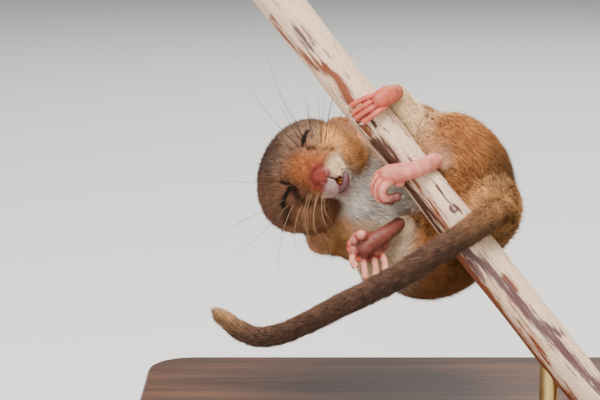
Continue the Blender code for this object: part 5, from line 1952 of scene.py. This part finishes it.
class DormouseCoatSettings(bpy.types.PropertyGroup):
    """Length, width and colours of the coat"""

    length: number_property("Length", 1.0, "Tuft length, times the usual", 0.2)
    width: number_property("Width", 1.0, "Tuft width, times the usual", 0.2)
    density: number_property("Density", 1.0, "Tufts, times the usual", 0.05)
    ear_density: number_property("Ear hair", 16.0, "Hairs on a square millimetre of ear")
    stray: number_property("Stray hairs", 0.1, "Share of longer hairs", most=1.0)
    seed: bpy.props.IntProperty(name="Seed", description="Start of the coat's random draws", default=11)


for KEY, (VALUE, ABOUT) in FUR_COLOURS.items():
    TITLE = KEY.replace("_", " ").capitalize()
    DormouseCoatSettings.__annotations__[KEY] = colour_property(TITLE, VALUE, ABOUT)


class DormouseSkinSettings(bpy.types.PropertyGroup):
    """Colours of the skin"""

    # Painted shade: darkens the fur roots under the coat.
    root_shade: number_property("Root shade", 0.45, "Brightness of the fur roots", most=1.0)


for KEY, (VALUE, ABOUT) in SKIN_COLOURS.items():
    TITLE = KEY.replace("_", " ").capitalize()
    DormouseSkinSettings.__annotations__[KEY] = colour_property(TITLE, VALUE, ABOUT)


class DormouseWhiskerSettings(bpy.types.PropertyGroup):
    """Thickness and colours of the whiskers"""

    radius: number_property("Root radius", 0.06, "In millimetres", 0.01)
    root_colour: colour_property("Root", (26, 20, 18), "Whiskers near the skin")
    tip_colour: colour_property("Tip", (214, 206, 190), "Whiskers towards the tip")
    pale_colour: colour_property("Pale", (186, 152, 112), "The cream whiskers of the right side")


class DormouseTwigSettings(bpy.types.PropertyGroup):
    """Surface of the twig"""

    ridge: number_property("Ridges", 0.22, "Height of the fibres in millimetres")
    wood: colour_property("Wood", (248, 215, 180), "Clean weathered wood")
    shaded_wood: colour_property("Shaded wood", (212, 172, 144), "Duller wood")
    fibre: colour_property("Fibres", (150, 104, 82), "Darker long fibres")
    stain: colour_property("Stains", (122, 54, 20), "Red-brown stains left by the bark")
    purple: colour_property("Blotches", (88, 58, 58), "Purple-brown blotches")
    # The dark marks also carry a painted shade along the twig's left edge.
    dark: colour_property("Dark marks", (70, 30, 10), "Cracks and the darkest stains")
    speck: colour_property("Specks", (110, 84, 90), "Purple-grey specks")


class DormouseStandSettings(bpy.types.PropertyGroup):
    """Finishes of the stand"""

    dark_wood: colour_property("Dark grain", (58, 36, 24), "Dark lines of the board")
    light_wood: colour_property("Light grain", (104, 68, 44), "Light lines of the board")
    metal: colour_property("Metal", (214, 184, 128), "Rod and collar")


class DormouseStageSettings(bpy.types.PropertyGroup):
    """Floor and light"""

    floor: colour_property("Floor", (226, 226, 222), "Plain pale floor")
    light_strength: number_property("Lights", 1.0, "Strength of all lamps")
    world_strength: number_property("Sky", 0.24, "Strength of the even light")


MADE = {}


def skin_surface():
    """The skin's surface in the pose frame, to set pieces on."""
    places, _, corners = arrays_of(MADE["skin"].data)
    back = np.array(POSE.inverted())
    places = places @ back[:3, :3].T + back[:3, 3]
    return BVHTree.FromPolygons(places.tolist(), corners.tolist())


class DORMOUSE_OT_stage(bpy.types.Operator):
    """Add the floor, lights and camera"""

    bl_idname = "dormouse.stage"
    bl_label = "Stage"

    def execute(self, context):
        make_stage()
        return {"FINISHED"}


class DORMOUSE_OT_skin(bpy.types.Operator):
    """Add the skin with its face, lids, ears, hands and feet"""

    bl_idname = "dormouse.skin"
    bl_label = "Skin"

    def execute(self, context):
        MADE["skin"] = make_skin()
        return {"FINISHED"}


class DORMOUSE_OT_eyes(bpy.types.Operator):
    """Add the eyeballs behind the shut lids"""

    bl_idname = "dormouse.eyes"
    bl_label = "Eyes"

    def execute(self, context):
        make_eyes()
        return {"FINISHED"}


class DORMOUSE_OT_teeth(bpy.types.Operator):
    """Add the front teeth"""

    bl_idname = "dormouse.teeth"
    bl_label = "Front teeth"

    def execute(self, context):
        make_incisors()
        return {"FINISHED"}


class DORMOUSE_OT_coat(bpy.types.Operator):
    """Add the coat on the skin"""

    bl_idname = "dormouse.coat"
    bl_label = "Coat"

    def execute(self, context):
        make_coat(MADE["skin"])
        return {"FINISHED"}


class DORMOUSE_OT_whiskers(bpy.types.Operator):
    """Add the whiskers and the lashes"""

    bl_idname = "dormouse.whiskers"
    bl_label = "Whiskers and lashes"

    def execute(self, context):
        make_whiskers(skin_surface())
        lashes = strands("lashes", lash_paths(np.random.default_rng(5)), 5, lash_material())
        finish_piece(lashes, lash_material(), "fur")
        return {"FINISHED"}


class DORMOUSE_OT_claws(bpy.types.Operator):
    """Add a claw to every digit"""

    bl_idname = "dormouse.claws"
    bl_label = "Claws"

    def execute(self, context):
        claws = strands("claws", claw_paths(), 8, claw_material())
        finish_piece(claws, claw_material(), "bare_skin")
        return {"FINISHED"}


class DORMOUSE_OT_twig(bpy.types.Operator):
    """Add the twig"""

    bl_idname = "dormouse.twig"
    bl_label = "Twig"

    def execute(self, context):
        make_twig()
        return {"FINISHED"}


class DORMOUSE_OT_stand(bpy.types.Operator):
    """Add the display stand"""

    bl_idname = "dormouse.stand"
    bl_label = "Stand"

    def execute(self, context):
        make_stand()
        return {"FINISHED"}


STEPS = (
    DORMOUSE_OT_stage,
    DORMOUSE_OT_skin,
    DORMOUSE_OT_eyes,
    DORMOUSE_OT_teeth,
    DORMOUSE_OT_coat,
    DORMOUSE_OT_whiskers,
    DORMOUSE_OT_claws,
    DORMOUSE_OT_twig,
    DORMOUSE_OT_stand,
)
SETTINGS = {
    "dormouse_coat": DormouseCoatSettings,
    "dormouse_skin": DormouseSkinSettings,
    "dormouse_whiskers": DormouseWhiskerSettings,
    "dormouse_twig": DormouseTwigSettings,
    "dormouse_stand": DormouseStandSettings,
    "dormouse_stage": DormouseStageSettings,
}


class DORMOUSE_PT_panel(bpy.types.Panel):
    """Lists the pieces and their settings"""

    bl_label = "Hazel dormouse"
    bl_idname = "DORMOUSE_PT_panel"
    bl_space_type = "VIEW_3D"
    bl_region_type = "UI"
    bl_category = "Dormouse"

    def draw(self, context):
        for step in STEPS:
            self.layout.operator(step.bl_idname)
        for name, kind in SETTINGS.items():
            box = self.layout.box()
            box.label(text=kind.__doc__)
            for key in kind.__annotations__:
                box.prop(getattr(context.scene, name), key)


def register():
    for kind in (*SETTINGS.values(), *STEPS, DORMOUSE_PT_panel):
        bpy.utils.register_class(kind)
    for name, kind in SETTINGS.items():
        setattr(bpy.types.Scene, name, bpy.props.PointerProperty(type=kind))


def unregister():
    for name in SETTINGS:
        delattr(bpy.types.Scene, name)
    for kind in reversed((*SETTINGS.values(), *STEPS, DORMOUSE_PT_panel)):
        bpy.utils.unregister_class(kind)


def main():
    register()
    for step in STEPS:
        group, name = step.bl_idname.split(".")
        getattr(getattr(bpy.ops, group), name)()


if __name__ == "__main__":
    main()
